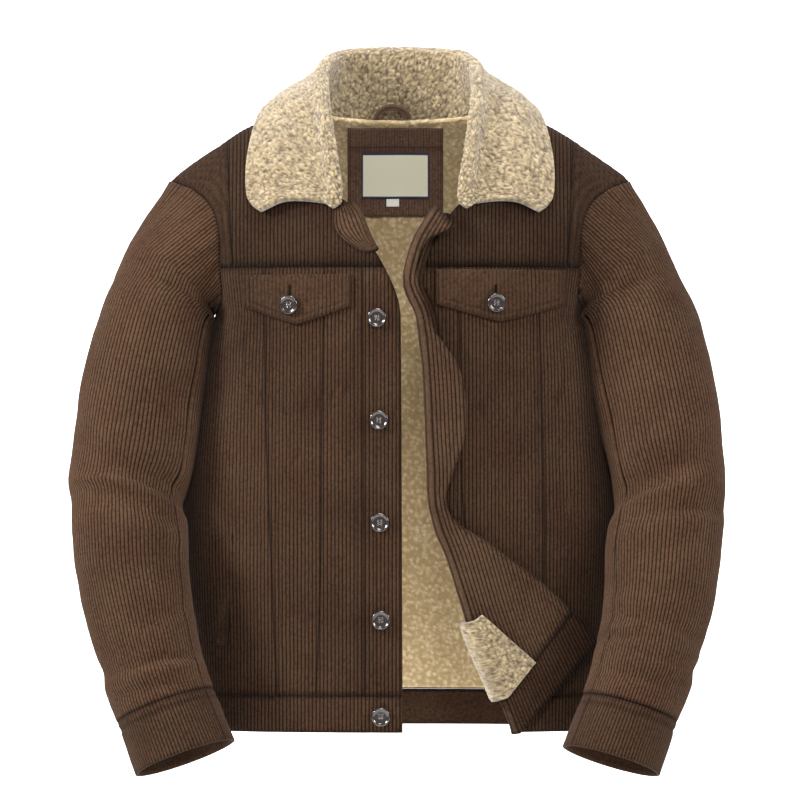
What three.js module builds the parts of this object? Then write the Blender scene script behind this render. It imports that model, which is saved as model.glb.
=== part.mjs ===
import * as THREE from 'three';

// Sherpa lined corduroy jacket, size L, in its worn shape with nobody in it.
// Millimetres, Z up. The wearer faces -Y and the wearer's right is -X.
// The origin is the middle of the back neck seam's height, on the axis of the neck.

// Thicknesses of the cloths and the space kept between two pieces
const seamGap = 0.3;
const corduroy = 2;
const doubledCorduroy = 3;
const pileLining = 6;
const pileCollar = 7;
const layerGap = 1;
const facingStart = corduroy + layerGap;
const facingEnd = facingStart + corduroy;
const liningGap = 2.5;
const liningStart = corduroy + liningGap;
const liningEnd = liningStart + pileLining;
const liningTrim = 1.3;

// Heights of the seams that run round the body
const chestHeight = -200;
const underarmHeight = -213;
const yokeSeam = -163;
const backYokeSeam = -150;
const hemSeam = -612;
const hem = -650;

// How square the body's cross-section is: 2 is an ellipse
const squareness = 2.3;

// The body from neck to hem: half width, and depth in front and behind
const bodyOutline = [
  { height: 30, halfWidth: 252, front: 110, back: 112 },
  { height: -60, halfWidth: 251, front: 113, back: 115 },
  { height: -110, halfWidth: 240, front: 115, back: 117 },
  { height: -160, halfWidth: 214, front: 116, back: 118 },
  { height: -213, halfWidth: 196, front: 116, back: 117 },
  { height: -240, halfWidth: 198, front: 116, back: 116 },
  { height: -280, halfWidth: 206, front: 116, back: 114 },
  { height: -340, halfWidth: 216, front: 117, back: 112 },
  { height: -400, halfWidth: 226, front: 119, back: 113 },
  { height: -500, halfWidth: 226, front: 119, back: 115 },
  { height: -612, halfWidth: 218, front: 114, back: 113 },
  { height: -680, halfWidth: 214, front: 110, back: 110 },
];

// The shoulder seam, by its distance from the middle of the neck
const shoulderLine = [
  { across: 0, height: 25 },
  { across: 85, height: 15 },
  { across: 125, height: 3 },
  { across: 163, height: -14 },
  { across: 199, height: -37 },
  { across: 232, height: -60 },
  { across: 243, height: -70 },
  { across: 260, height: -88 },
];

// How the chest and the back round over to the shoulder seam
const frontRounding = { curve: 1.6, power: 0.5 };
const backRounding = { curve: 2.2, power: 0.42 };
const shoulderRound = 0.06;

// The armhole seam from the shoulder tip to the underarm
const frontArmhole = [
  { down: 0, across: 243, height: -70 },
  { down: 0.16, across: 219, height: -80 },
  { down: 0.32, across: 200, height: -98 },
  { down: 0.48, across: 191, height: -124 },
  { down: 0.68, across: 190, height: -160 },
  { down: 0.86, across: 188, height: -194 },
  { down: 1, across: 196, height: underarmHeight },
];
const backArmhole = [
  { down: 0, across: 243, height: -70 },
  { down: 0.16, across: 222, height: -81 },
  { down: 0.32, across: 206, height: -99 },
  { down: 0.48, across: 199, height: -125 },
  { down: 0.68, across: 193, height: -160 },
  { down: 0.86, across: 190, height: -194 },
  { down: 1, across: 196, height: underarmHeight },
];

// Smooth value of one column of a table at a place along another column
function along(table, key, place, column) {
  const rising = table[table.length - 1][key] > table[0][key];
  const rows = rising ? table : [...table].reverse();
  let at = rows.findIndex((row) => row[key] > place) - 1;
  if (at < 0) at = place <= rows[0][key] ? 0 : rows.length - 2;
  const [low, high] = [rows[at], rows[at + 1]];
  const before = rows[at - 1] ?? low;
  const after = rows[at + 2] ?? high;
  const span = high[key] - low[key];
  const part = Math.min(Math.max((place - low[key]) / span, 0), 1);
  const startSlope = (high[column] - before[column]) / (high[key] - before[key]);
  const endSlope = (after[column] - low[column]) / (after[key] - low[key]);
  const [square, cube] = [part ** 2, part ** 3];
  return low[column] * (2 * cube - 3 * square + 1) + high[column] * (3 * square - 2 * cube)
    + span * (startSlope * (cube - 2 * square + part) + endSlope * (cube - square));
}

const mix = (from, to, part) => from + (to - from) * part;
const halfWidth = (height) => along(bodyOutline, 'height', height, 'halfWidth');
const shoulderHeight = (across) => along(shoulderLine, 'across', Math.abs(across), 'height');

// Angle round the body's cross-section, 0 at its middle and a quarter turn at its side
function angleAt(across, height) {
  const part = Math.min(Math.abs(across) / halfWidth(height), 1);
  return Math.sign(across) * Math.asin(part ** (squareness / 2));
}

// Point on the outside of the body; beyond a quarter turn the angle comes round to the other face
function bodyPoint(angle, height, back = false) {
  const width = halfWidth(height);
  const across = width * Math.sign(Math.sin(angle)) * Math.abs(Math.sin(angle)) ** (2 / squareness);
  const cosine = Math.cos(angle);
  const reach = Math.sign(cosine) * Math.abs(cosine) ** (2 / squareness);
  const rounding = back ? backRounding : frontRounding;
  const shoulder = shoulderHeight(across);
  const drop = Math.min(Math.max((shoulder - height) / (shoulder - chestHeight), 0), 1);
  const fall = (1 - (1 - drop) ** rounding.curve) ** rounding.power;
  const depth = along(bodyOutline, 'height', height, back ? 'back' : 'front') * reach * fall;
  return new THREE.Vector3(across, back ? depth : -depth, height);
}

// Direction out of the body at that point
function bodyNormal(angle, height, back = false) {
  const angleStep = 0.02;
  const heightStep = 1;
  const acrossStep = bodyPoint(angle + angleStep, height, back)
    .sub(bodyPoint(angle - angleStep, height, back));
  const upStep = bodyPoint(angle, height + heightStep, back)
    .sub(bodyPoint(angle, height - heightStep, back));
  const normal = acrossStep.cross(upStep).normalize();
  if (back) normal.negate();
  const across = bodyPoint(angle, height, back).x;
  const shoulder = shoulderHeight(across);
  const upright = 1 - (shoulder - height) / (shoulder - chestHeight) / shoulderRound;
  if (upright <= 0) return normal;
  const slope = (shoulderHeight(Math.abs(across) + 1) - shoulderHeight(Math.abs(across) - 1)) / 2;
  const onSeam = new THREE.Vector3(-slope * Math.sign(across), 0, 1).normalize();
  return normal.lerp(onSeam, upright).normalize();
}

// The same by the distance from the middle instead of the angle
function bodySpot(across, height, back = false) {
  const angle = angleAt(across, height);
  return { point: bodyPoint(angle, height, back), normal: bodyNormal(angle, height, back) };
}

// Turns two grids of points, the outer and inner face of a wall, into one closed solid
function closeWall(outer, inner, isTube = false) {
  const rows = outer.length;
  const columns = outer[0].length;
  const positions = [...outer.flat(), ...inner.flat()].flatMap((point) => point.toArray());
  const outerIndex = (row, column) => row * columns + (column % columns);
  const innerIndex = (row, column) => rows * columns + outerIndex(row, column);
  const faces = [];
  const quad = (a, b, c, d) => faces.push(a, b, c, a, c, d);
  const lastColumn = isTube ? columns : columns - 1;
  for (let row = 0; row < rows - 1; row++) {
    for (let column = 0; column < lastColumn; column++) {
      quad(outerIndex(row, column), outerIndex(row, column + 1),
        outerIndex(row + 1, column + 1), outerIndex(row + 1, column));
      quad(innerIndex(row, column), innerIndex(row + 1, column),
        innerIndex(row + 1, column + 1), innerIndex(row, column + 1));
    }
  }
  for (let column = 0; column < lastColumn; column++) {
    quad(outerIndex(0, column), innerIndex(0, column),
      innerIndex(0, column + 1), outerIndex(0, column + 1));
    quad(outerIndex(rows - 1, column), outerIndex(rows - 1, column + 1),
      innerIndex(rows - 1, column + 1), innerIndex(rows - 1, column));
  }
  if (!isTube) {
    for (let row = 0; row < rows - 1; row++) {
      quad(outerIndex(row, 0), outerIndex(row + 1, 0), innerIndex(row + 1, 0), innerIndex(row, 0));
      quad(outerIndex(row, columns - 1), innerIndex(row, columns - 1),
        innerIndex(row + 1, columns - 1), outerIndex(row + 1, columns - 1));
    }
  }
  return solidFrom(positions, faces);
}

// Geometry with its faces pointing out, whichever way they were listed
function solidFrom(positions, faces) {
  let volume = 0;
  const corner = (index) => new THREE.Vector3().fromArray(positions, index * 3);
  for (let at = 0; at < faces.length; at += 3) {
    volume += corner(faces[at]).dot(corner(faces[at + 1]).cross(corner(faces[at + 2])));
  }
  if (volume < 0) {
    for (let at = 0; at < faces.length; at += 3) {
      [faces[at], faces[at + 1]] = [faces[at + 1], faces[at]];
    }
  }
  const geometry = new THREE.BufferGeometry();
  geometry.setAttribute('position', new THREE.Float32BufferAttribute(positions, 3));
  geometry.setIndex(faces);
  geometry.computeVertexNormals();
  return geometry;
}

// Draws the border of a grid in by half a seam gap, so that two pieces sewn together stay apart
function trimBorder(grid, trim, isTube) {
  const rows = grid.length;
  const columns = grid[0].length;
  const draw = (row, column, nextRow, nextColumn) => {
    const inwards = grid[nextRow][nextColumn].clone().sub(grid[row][column]).setLength(trim);
    grid[row][column].add(inwards);
  };
  for (let column = 0; column < columns; column++) {
    draw(0, column, 1, column);
    draw(rows - 1, column, rows - 2, column);
  }
  if (isTube) return;
  for (let row = 0; row < rows; row++) {
    draw(row, 0, row, 1);
    draw(row, columns - 1, row, columns - 2);
  }
}

// A wall of cloth over a grid of spots; from and to are depths below the outside of the garment
function clothWall(spotAt, columns, rows, from, to, { isTube = false, trim = seamGap / 2 } = {}) {
  const spots = [];
  const columnCount = isTube ? columns : columns + 1;
  for (let row = 0; row <= rows; row++) {
    spots.push(Array.from({ length: columnCount }, (_, column) => spotAt(column / columns, row / rows)));
  }
  const layer = (depth) => spots.map((line) => line.map(
    ({ point, normal }) => point.clone().addScaledVector(normal, -depth)));
  const [outer, inner] = [layer(from), layer(to)];
  trimBorder(outer, trim, isTube);
  trimBorder(inner, trim, isTube);
  return closeWall(outer, inner, isTube);
}

// Colours and finishes
const cordColour = { color: '#4e3829', roughness: 0.92, metalness: 0 };
const facingColour = { color: '#49352a', roughness: 0.93, metalness: 0 };
const patchColour = { color: '#3c2b24', roughness: 0.9, metalness: 0 };
const pileColour = { color: '#b59a72', roughness: 1, metalness: 0 };
const labelColour = { color: '#ded9bd', roughness: 0.75, metalness: 0 };
const tabColour = { color: '#e6e3da', roughness: 0.7, metalness: 0 };
const buttonColour = { color: '#1d1411', roughness: 0.22, metalness: 0 };

const jacket = new THREE.Group();

function addPiece(name, geometry, finish) {
  const mesh = new THREE.Mesh(geometry, new THREE.MeshStandardMaterial(finish));
  mesh.name = name;
  jacket.add(mesh);
  return mesh;
}

// Fronts. "across" runs from the middle of the body towards the front's own side seam.
// Rows 0 to 1 go from the shoulder seam to the yoke seam, rows 1 to 2 on to the hem band.
const necklineEndRow = 0.6;
const necklineEnd = { across: 72, height: -86 };
const frontNeckline = [
  { row: 0, across: 88, height: 15 },
  { row: 0.2, across: 87, height: -12 },
  { row: 0.4, across: 81, height: -49 },
  { row: 0.6, across: necklineEnd.across, height: necklineEnd.height },
];

// Right front: its edge curves away from the neck and then falls straight
const rightEdge = [
  { height: -86, across: 72 },
  { height: -93, across: 57 },
  { height: -106, across: 45 },
  { height: -132, across: 34 },
  { height: -147, across: 25 },
  { height: -163, across: 16 },
  { height: -187, across: 5 },
  { height: -205, across: 0 },
  { height: -228, across: -1 },
  { height: -400, across: -2 },
  { height: -660, across: -3 },
];
const rightFacingEdge = [
  { height: -86, across: 80 },
  { height: -106, across: 78 },
  { height: -163, across: 76 },
  { height: -205, across: 66 },
  { height: -228, across: 62 },
  { height: -660, across: 60 },
];

// Left front: it turns outwards along a fold, and its edge comes to lie on the front.
// Each row gives the fold as seen from in front and the place that the edge reaches.
const leftFold = [
  { height: -86, fold: 54, tipAcross: 68, tipHeight: -98 },
  { height: -100, fold: 37, tipAcross: 61, tipHeight: -119 },
  { height: -119, fold: 24, tipAcross: 46, tipHeight: -129 },
  { height: -138, fold: 13, tipAcross: 28, tipHeight: -138 },
  { height: -163, fold: 5, tipAcross: 18, tipHeight: -163 },
  { height: -182, fold: 3, tipAcross: 19, tipHeight: -182 },
  { height: -207, fold: 14, tipAcross: 27, tipHeight: -207 },
  { height: -231, fold: 19, tipAcross: 36, tipHeight: -230 },
  { height: -262, fold: 22, tipAcross: 56, tipHeight: -258 },
  { height: -293, fold: 24, tipAcross: 66, tipHeight: -290 },
  { height: -340, fold: 26, tipAcross: 67, tipHeight: -340 },
  { height: -376, fold: 28, tipAcross: 57, tipHeight: -372 },
  { height: -410, fold: 29, tipAcross: 47, tipHeight: -408 },
  { height: -437, fold: 36, tipAcross: 60, tipHeight: -431 },
  { height: -463, fold: 46, tipAcross: 86, tipHeight: -447 },
  { height: -500, fold: 58, tipAcross: 112, tipHeight: -467 },
  { height: -538, fold: 70, tipAcross: 138, tipHeight: -487 },
  { height: -578, fold: 86, tipAcross: 156, tipHeight: -504 },
  { height: hemSeam, fold: 100, tipAcross: 175, tipHeight: -523 },
  { height: hem, fold: 114, tipAcross: 202, tipHeight: -555 },
];
const rollRadius = 4;
const rollLength = Math.PI * rollRadius;
const foldStep = 5;
const placketOnBody = 12;
const placketEase = 1.8;
const liningEase = 4;
const facingWidth = 65;
const leastFacingOnBody = 30;

// Where the fold lies on the outside of the body, under the rolled cloth that shows
const foldAcross = (height) => along(leftFold, 'height', height, 'fold') + rollRadius + facingEnd;
const foldTip = (height) => ({
  across: along(leftFold, 'height', height, 'tipAcross'),
  height: along(leftFold, 'height', height, 'tipHeight'),
});
const turnedWidth = (height) => Math.hypot(
  foldTip(height).across - foldAcross(height), foldTip(height).height - height);
const stripEnd = (height) => rollLength + turnedWidth(height);

// The edges that a front's pieces end at, by height
const frontEdges = {
  rightShell: (height) => along(rightEdge, 'height', height, 'across'),
  rightLining: (height) => along(rightFacingEdge, 'height', height, 'across') + liningEase,
  leftShell: (height) => foldAcross(height) + placketOnBody,
  leftLining: (height) => foldAcross(height) + liningEase
    + Math.max(facingWidth - stripEnd(height), leastFacingOnBody),
};

const downAtYoke = along(frontArmhole, 'height', yokeSeam, 'down');
const yokeDrop = ({ across, height }) => {
  const shoulder = shoulderHeight(across);
  return (shoulder - height) / (shoulder - yokeSeam);
};

// The two ends of a front's row, at the armhole or side seam and at its edge
function frontLine(row, edgeAt) {
  if (row > 1) {
    const height = mix(yokeSeam, hemSeam, row - 1);
    const side = height > underarmHeight ? along(frontArmhole, 'height', height, 'across') : halfWidth(height);
    return { height, side, edge: edgeAt(height) };
  }
  const down = row * downAtYoke;
  const side = {
    across: along(frontArmhole, 'down', down, 'across'),
    height: along(frontArmhole, 'down', down, 'height'),
  };
  const edge = {
    across: along(frontNeckline, 'row', row, 'across'),
    height: along(frontNeckline, 'row', row, 'height'),
  };
  if (row > necklineEndRow) {
    edge.height = mix(necklineEnd.height, yokeSeam, (row - necklineEndRow) / (1 - necklineEndRow));
    edge.across = edgeAt(edge.height);
  }
  return { side: side.across, edge: edge.across, sideDrop: yokeDrop(side), edgeDrop: yokeDrop(edge) };
}

function heightOn(line, across) {
  if (line.height !== undefined) return line.height;
  const drop = mix(line.sideDrop, line.edgeDrop, (line.side - across) / (line.side - line.edge));
  const shoulder = shoulderHeight(across);
  return shoulder - drop * (shoulder - yokeSeam);
}

// Spots between two places on a row, evenly spread round the body's cross-section
function spotBetween(start, end, part, heightAt, sign, back = false) {
  const [startHeight, endHeight] = [heightAt(start), heightAt(end)];
  const angle = mix(angleAt(start, startHeight), angleAt(end, endHeight), part);
  const width = halfWidth(mix(startHeight, endHeight, part));
  const across = Math.sign(angle) * width * Math.abs(Math.sin(angle)) ** (2 / squareness);
  return mirrored(bodySpot(across, heightAt(across), back), sign);
}

function mirrored({ point, normal }, sign) {
  point.x *= sign;
  normal.x *= sign;
  return { point, normal };
}

const rowSpread = 1.4;

function frontSpots(sign, edgeAt, firstRow, lastRow, from, to) {
  return (u, v) => {
    const spread = firstRow === 0 ? v ** rowSpread : v;
    const line = frontLine(mix(firstRow, lastRow, spread), edgeAt);
    return spotBetween(from(line), to(line), u, (across) => heightOn(line, across), sign);
  };
}

// Seams of the fronts, by height
const panelSeam = { top: 183, yoke: 176 };
const panelSeamAt = (line) => mix(panelSeam.top, panelSeam.yoke, line.sideDrop ?? 1);
const sideSeam = {
  right: [{ height: -163, across: 143 }, { height: -345, across: 140 }, { height: -487, across: 134 },
    { height: -612, across: 129 }],
  left: [{ height: -163, across: 144 }, { height: -345, across: 150 }, { height: -487, across: 151 },
    { height: -612, across: 147 }],
};
const innerSeam = {
  right: [{ height: -163, across: 79 }, { height: -345, across: 82 }, { height: -487, across: 83 },
    { height: -612, across: 88 }],
  left: [{ height: -163, across: 61 }, { height: -420, across: 66 }, { height: -463, across: 75 },
    { height: -500, across: 87 }, { height: -538, across: 99 }, { height: -578, across: 115 },
    { height: -612, across: 129 }],
};
const placketSeam = [{ height: -163, across: 39 }, { height: -400, across: 38 }, { height: -612, across: 37 }];
const seamAt = (table) => (line) => along(table, 'height', line.height, 'across');
const lineSide = (line) => line.side;
const lineEdge = (line) => line.edge;

const belowYoke = 1.0001;
const panelRows = 12;
for (const [side, sign] of [['right', -1], ['left', 1]]) {
  const shell = frontEdges[`${side}Shell`];
  const lining = frontEdges[`${side}Lining`];
  const panel = (name, columns, rows, spots) => addPiece(
    `${side}_${name}`, clothWall(spots, columns, rows, 0, corduroy), cordColour);
  const placketSide = side === 'right' ? seamAt(placketSeam) : lineEdge;
  panel('front_yoke', 9, 10, frontSpots(sign, shell, 0, 1, panelSeamAt, lineEdge));
  panel('armhole_panel', 3, 10, frontSpots(sign, shell, 0, 1, lineSide, panelSeamAt));
  const [sideLine, innerLine] = [seamAt(sideSeam[side]), seamAt(innerSeam[side])];
  panel('side_panel', 6, panelRows, frontSpots(sign, shell, belowYoke, 2, lineSide, sideLine));
  panel('middle_panel', 3, panelRows, frontSpots(sign, shell, belowYoke, 2, sideLine, innerLine));
  panel('inner_panel', 3, panelRows, frontSpots(sign, shell, belowYoke, 2, innerLine, placketSide));
  if (side === 'right') {
    panel('placket', 3, panelRows, frontSpots(sign, shell, belowYoke, 2, placketSide, lineEdge));
  }
  addPiece(`${side}_lining`, clothWall(frontSpots(sign, lining, 0, 2, lineSide, lineEdge),
    9, 18, liningStart, liningEnd, { trim: liningTrim }), pileColour);
}

// Right front band, facing and hem
const rightLevel = (from, to, top, bottom) => (u, v) => {
  const height = mix(top, bottom, v);
  return spotBetween(from(height), to(height), u, () => height, -1);
};
const facingTop = -90;
const rightFacingInner = (height) => along(rightFacingEdge, 'height', height, 'across');
addPiece('right_facing', clothWall(
  rightLevel(rightFacingInner, frontEdges.rightShell, facingTop, hemSeam),
  2, 14, facingStart, facingEnd), facingColour);
addPiece('right_hem_band', clothWall(rightLevel(halfWidth, frontEdges.rightShell, hemSeam, hem),
  12, 2, 0, doubledCorduroy), cordColour);

// The top of the right front's facing is turned round the edge and lies on the front.
// Each row gives a place on the edge and the place that the turned cloth reaches.
const lapelTurn = [
  { height: -96, tipAcross: 68, tipHeight: -101 },
  { height: -108, tipAcross: 69, tipHeight: -116 },
  { height: -120, tipAcross: 66, tipHeight: -127 },
  { height: -133, tipAcross: 54, tipHeight: -138 },
  { height: -146, tipAcross: 36, tipHeight: -148 },
];
const turnThickness = 1.5;
const edgeStep = 2;
const turnRadius = facingEnd / 2 + seamGap;
const turnColumns = { round: 4, flat: 3 };

function lapelSpot(u, v) {
  const first = lapelTurn[0].height;
  const height = mix(first, lapelTurn[lapelTurn.length - 1].height, v);
  const edge = frontEdges.rightShell(height);
  const column = u * (turnColumns.round + turnColumns.flat);
  if (column > turnColumns.round) {
    const part = (column - turnColumns.round) / turnColumns.flat;
    const across = mix(edge, along(lapelTurn, 'height', height, 'tipAcross'), part);
    const spot = bodySpot(across, mix(height, along(lapelTurn, 'height', height, 'tipHeight'), part));
    spot.point.addScaledVector(spot.normal, seamGap);
    return mirrored(spot, -1);
  }
  const { point, normal } = bodySpot(edge, height);
  const edgePoint = (at) => bodySpot(frontEdges.rightShell(at), at).point;
  const down = edgePoint(height - edgeStep).sub(edgePoint(height + edgeStep));
  const outwards = down.cross(normal).normalize();
  if (outwards.x > 0) outwards.negate();
  const angle = (column / turnColumns.round) * Math.PI;
  const direction = normal.clone().multiplyScalar(-Math.cos(angle))
    .addScaledVector(outwards, Math.sin(angle));
  point.addScaledVector(normal, -facingEnd / 2).addScaledVector(outwards, seamGap)
    .addScaledVector(direction, turnRadius);
  return mirrored({ point, normal: direction }, -1);
}
addPiece('right_lapel_turn', clothWall(lapelSpot, turnColumns.round + turnColumns.flat, 8, -turnThickness, 0),
  facingColour);

// Left front strip: a spot by the distance along the cloth past the fold, at a height on the fold
function stripSpot(distance, height) {
  const fold = foldAcross(height);
  if (distance <= 0) return bodySpot(fold - distance, height);
  if (distance > rollLength) {
    const part = (distance - rollLength) / turnedWidth(height);
    const tip = foldTip(height);
    const spot = bodySpot(mix(fold, tip.across, part), mix(height, tip.height, part));
    spot.point.addScaledVector(spot.normal, 2 * rollRadius);
    spot.normal.negate();
    return spot;
  }
  const { point, normal } = bodySpot(fold, height);
  const foldPoint = (at) => bodySpot(foldAcross(at), at).point;
  const down = foldPoint(height - foldStep).sub(foldPoint(height + foldStep));
  const toOpening = down.cross(normal).normalize();
  if (toOpening.x > 0) toOpening.negate();
  const angle = distance / rollRadius;
  point.addScaledVector(normal, rollRadius * (1 - Math.cos(angle)))
    .addScaledVector(toOpening, rollRadius * Math.sin(angle));
  normal.multiplyScalar(Math.cos(angle)).addScaledVector(toOpening, -Math.sin(angle));
  return { point, normal };
}

// Columns of the strip: flat on the body, round the roll, and flat on the front
const stripColumns = { body: 2, roll: 5, turned: 5 };
const stripCount = stripColumns.body + stripColumns.roll + stripColumns.turned;
const stripStart = placketEase - placketOnBody;
function stripDistance(column, height, start = stripStart, end = stripEnd(height)) {
  if (column <= stripColumns.body) return mix(start, 0, column / stripColumns.body);
  const past = column - stripColumns.body;
  if (past <= stripColumns.roll) return rollLength * (past / stripColumns.roll);
  return mix(rollLength, end, (past - stripColumns.roll) / stripColumns.turned);
}

const placketTop = -106;
const stripRows = 19;
addPiece('left_placket', clothWall((u, v) => {
  const height = mix(placketTop, hemSeam, v);
  return stripSpot(stripDistance(u * stripCount, height), height);
}, stripCount, stripRows, 0, corduroy), cordColour);

const hemColumns = 8;
addPiece('left_hem_band', clothWall((u, v) => {
  const height = mix(hemSeam, hem, v);
  const column = u * (hemColumns + stripCount);
  if (column > hemColumns) return stripSpot(stripDistance(column - hemColumns, height), height);
  return spotBetween(halfWidth(height), frontEdges.leftShell(height), column / hemColumns, () => height, 1);
}, hemColumns + stripCount, 2, 0, doubledCorduroy), cordColour);

addPiece('left_facing', clothWall((u, v) => {
  const height = mix(placketTop, hemSeam, v);
  const start = Math.min(stripEnd(height) - facingWidth, -placketOnBody);
  return stripSpot(stripDistance(u * stripCount, height, start), height);
}, stripCount, stripRows, facingStart, facingEnd), facingColour);

// The pile that shows where the turned corner is wider than its facing
const turnTop = -530;
const pileOnFacing = facingEnd + layerGap;
addPiece('left_lining_turn', clothWall((u, v) => {
  const height = mix(turnTop, hemSeam, v);
  const end = stripEnd(height) - facingWidth;
  return stripSpot(stripDistance(u * stripCount, height, -leastFacingOnBody, end), height);
}, stripCount, 4, pileOnFacing, pileOnFacing + pileLining), pileColour);

// Back: yoke from the shoulder seams and neckline, panel below it, hem band and pile lining
const backNeckline = [
  { across: 0, height: 0 },
  { across: 45, height: 3 },
  { across: 75, height: 8 },
  { across: 88, height: 15 },
];
const neckAcross = backNeckline[backNeckline.length - 1].across;
const backSide = (height) => (height > underarmHeight
  ? along(backArmhole, 'height', height, 'across') : halfWidth(height));
const neckShare = 0.5;
const backYokeDown = along(backArmhole, 'height', backYokeSeam, 'down');

function backYokeSpots(bottomDown) {
  return (u, v) => {
    const turn = 2 * u - 1;
    const sign = turn < 0 ? -1 : 1;
    const down = (v ** rowSpread) * bottomDown;
    const side = along(backArmhole, 'down', down, 'across');
    const sideHeight = along(backArmhole, 'down', down, 'height');
    const share = Math.abs(turn);
    const pastNeck = Math.max(share - neckShare, 0) / (1 - neckShare);
    const across = share < neckShare
      ? neckAcross * Math.sin((Math.PI / 2) * (share / neckShare)) : mix(neckAcross, side, pastNeck);
    const top = share > neckShare ? shoulderHeight(across) : along(backNeckline, 'across', across, 'height');
    const bottom = backYokeSeam;
    const sideTop = shoulderHeight(side);
    const drop = mix(v ** rowSpread, (sideTop - sideHeight) / (sideTop - bottom), share ** 4);
    return mirrored(bodySpot(across, mix(top, bottom, drop), true), sign);
  };
}
const backLevel = (top, bottom) => (u, v) => {
  const height = mix(top, bottom, v);
  const side = backSide(height);
  return spotBetween(-side, side, u, () => height, 1, true);
};
addPiece('back_yoke', clothWall(backYokeSpots(backYokeDown), 20, 7, 0, corduroy), cordColour);
addPiece('back_panel', clothWall(backLevel(backYokeSeam, hemSeam), 18, 10, 0, corduroy), cordColour);
addPiece('back_hem_band', clothWall(backLevel(hemSeam, hem), 16, 1, 0, doubledCorduroy), cordColour);
const backLiningYoke = 7;
const backLiningBody = 10;
addPiece('back_lining', clothWall((u, v) => {
  const row = v * (backLiningYoke + backLiningBody);
  if (row <= backLiningYoke) return backYokeSpots(backYokeDown)(u, row / backLiningYoke);
  return backLevel(backYokeSeam, hemSeam)(u, (row - backLiningYoke) / backLiningBody);
}, 20, backLiningYoke + backLiningBody, liningStart, liningEnd, { trim: liningTrim }), pileColour);

// Sleeves: rings square to the arm. tilt is the ring's lean from level, in degrees, in the
// front view; half widths are across the view and from front to back.
const rightSleeve = [
  { across: 244, y: -4, height: -174, tilt: 42, wide: 57, deep: 64 },
  { across: 252, y: -10, height: -200, tilt: 26, wide: 57, deep: 63 },
  { across: 261, y: -22, height: -225, tilt: 14, wide: 58, deep: 62 },
  { across: 273, y: -36, height: -281, tilt: 9, wide: 61, deep: 60 },
  { across: 281, y: -47, height: -338, tilt: 5, wide: 62, deep: 59 },
  { across: 287, y: -57, height: -386, tilt: 0, wide: 61, deep: 58 },
  { across: 287, y: -66, height: -412, tilt: 0, wide: 58, deep: 57 },
  { across: 284, y: -75, height: -440, tilt: -4, wide: 60, deep: 57 },
  { across: 280, y: -88, height: -488, tilt: -9, wide: 59, deep: 56 },
  { across: 270, y: -101, height: -534, tilt: -14, wide: 56, deep: 55 },
  { across: 262, y: -110, height: -568, tilt: -18, wide: 54, deep: 53 },
  { across: 255, y: -115, height: -594, tilt: -20, wide: 54, deep: 52 },
  { across: 245, y: -120, height: -621, tilt: -20, wide: 53, deep: 50 },
];
const leftSleeve = [
  { across: 238, y: -4, height: -174, tilt: 42, wide: 57, deep: 64 },
  { across: 246, y: -10, height: -200, tilt: 26, wide: 57, deep: 63 },
  { across: 257, y: -22, height: -225, tilt: 14, wide: 59, deep: 62 },
  { across: 269, y: -36, height: -281, tilt: 9, wide: 61, deep: 60 },
  { across: 279, y: -49, height: -338, tilt: 5, wide: 60, deep: 59 },
  { across: 285, y: -60, height: -386, tilt: 0, wide: 57, deep: 58 },
  { across: 283, y: -69, height: -417, tilt: 0, wide: 58, deep: 57 },
  { across: 278, y: -80, height: -450, tilt: -4, wide: 60, deep: 57 },
  { across: 272, y: -94, height: -506, tilt: -8, wide: 58, deep: 56 },
  { across: 265, y: -104, height: -540, tilt: -12, wide: 55, deep: 55 },
  { across: 258, y: -112, height: -568, tilt: -15, wide: 54, deep: 53 },
  { across: 251, y: -118, height: -594, tilt: -17, wide: 53, deep: 52 },
  { across: 240, y: -124, height: -624, tilt: -17, wide: 51, deep: 50 },
];

// Folds in a sleeve: where along it, in rings, and round it, in degrees from its outer side
// towards the front; how far each spreads, how much it slants, and how deep it is
const sleeveFolds = [
  { ring: 5.2, turn: 110, ringSpread: 0.42, turnSpread: 75, slant: 0.9, depth: 6 },
  { ring: 4.4, turn: 100, ringSpread: 0.5, turnSpread: 60, slant: 0.8, depth: -4 },
  { ring: 6.3, turn: 90, ringSpread: 0.4, turnSpread: 60, slant: 0.6, depth: 4 },
  { ring: 9.2, turn: 120, ringSpread: 0.35, turnSpread: 50, slant: -0.4, depth: 4 },
  { ring: 5.6, turn: 250, ringSpread: 0.5, turnSpread: 45, slant: -0.6, depth: 5 },
  { ring: 10.2, turn: 20, ringSpread: 0.35, turnSpread: 60, slant: 0.3, depth: 3 },
];
function foldDepth(ring, turn) {
  return sleeveFolds.reduce((sum, fold) => {
    const round = ((turn - fold.turn + 540) % 360) - 180;
    const alongRings = (ring - fold.ring - fold.slant * (round / 90)) / fold.ringSpread;
    return sum + fold.depth * Math.exp(-(alongRings ** 2) - (round / fold.turnSpread) ** 2);
  }, 0);
}

const sleeveSides = 20;
const armholeStart = 1.2;

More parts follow.
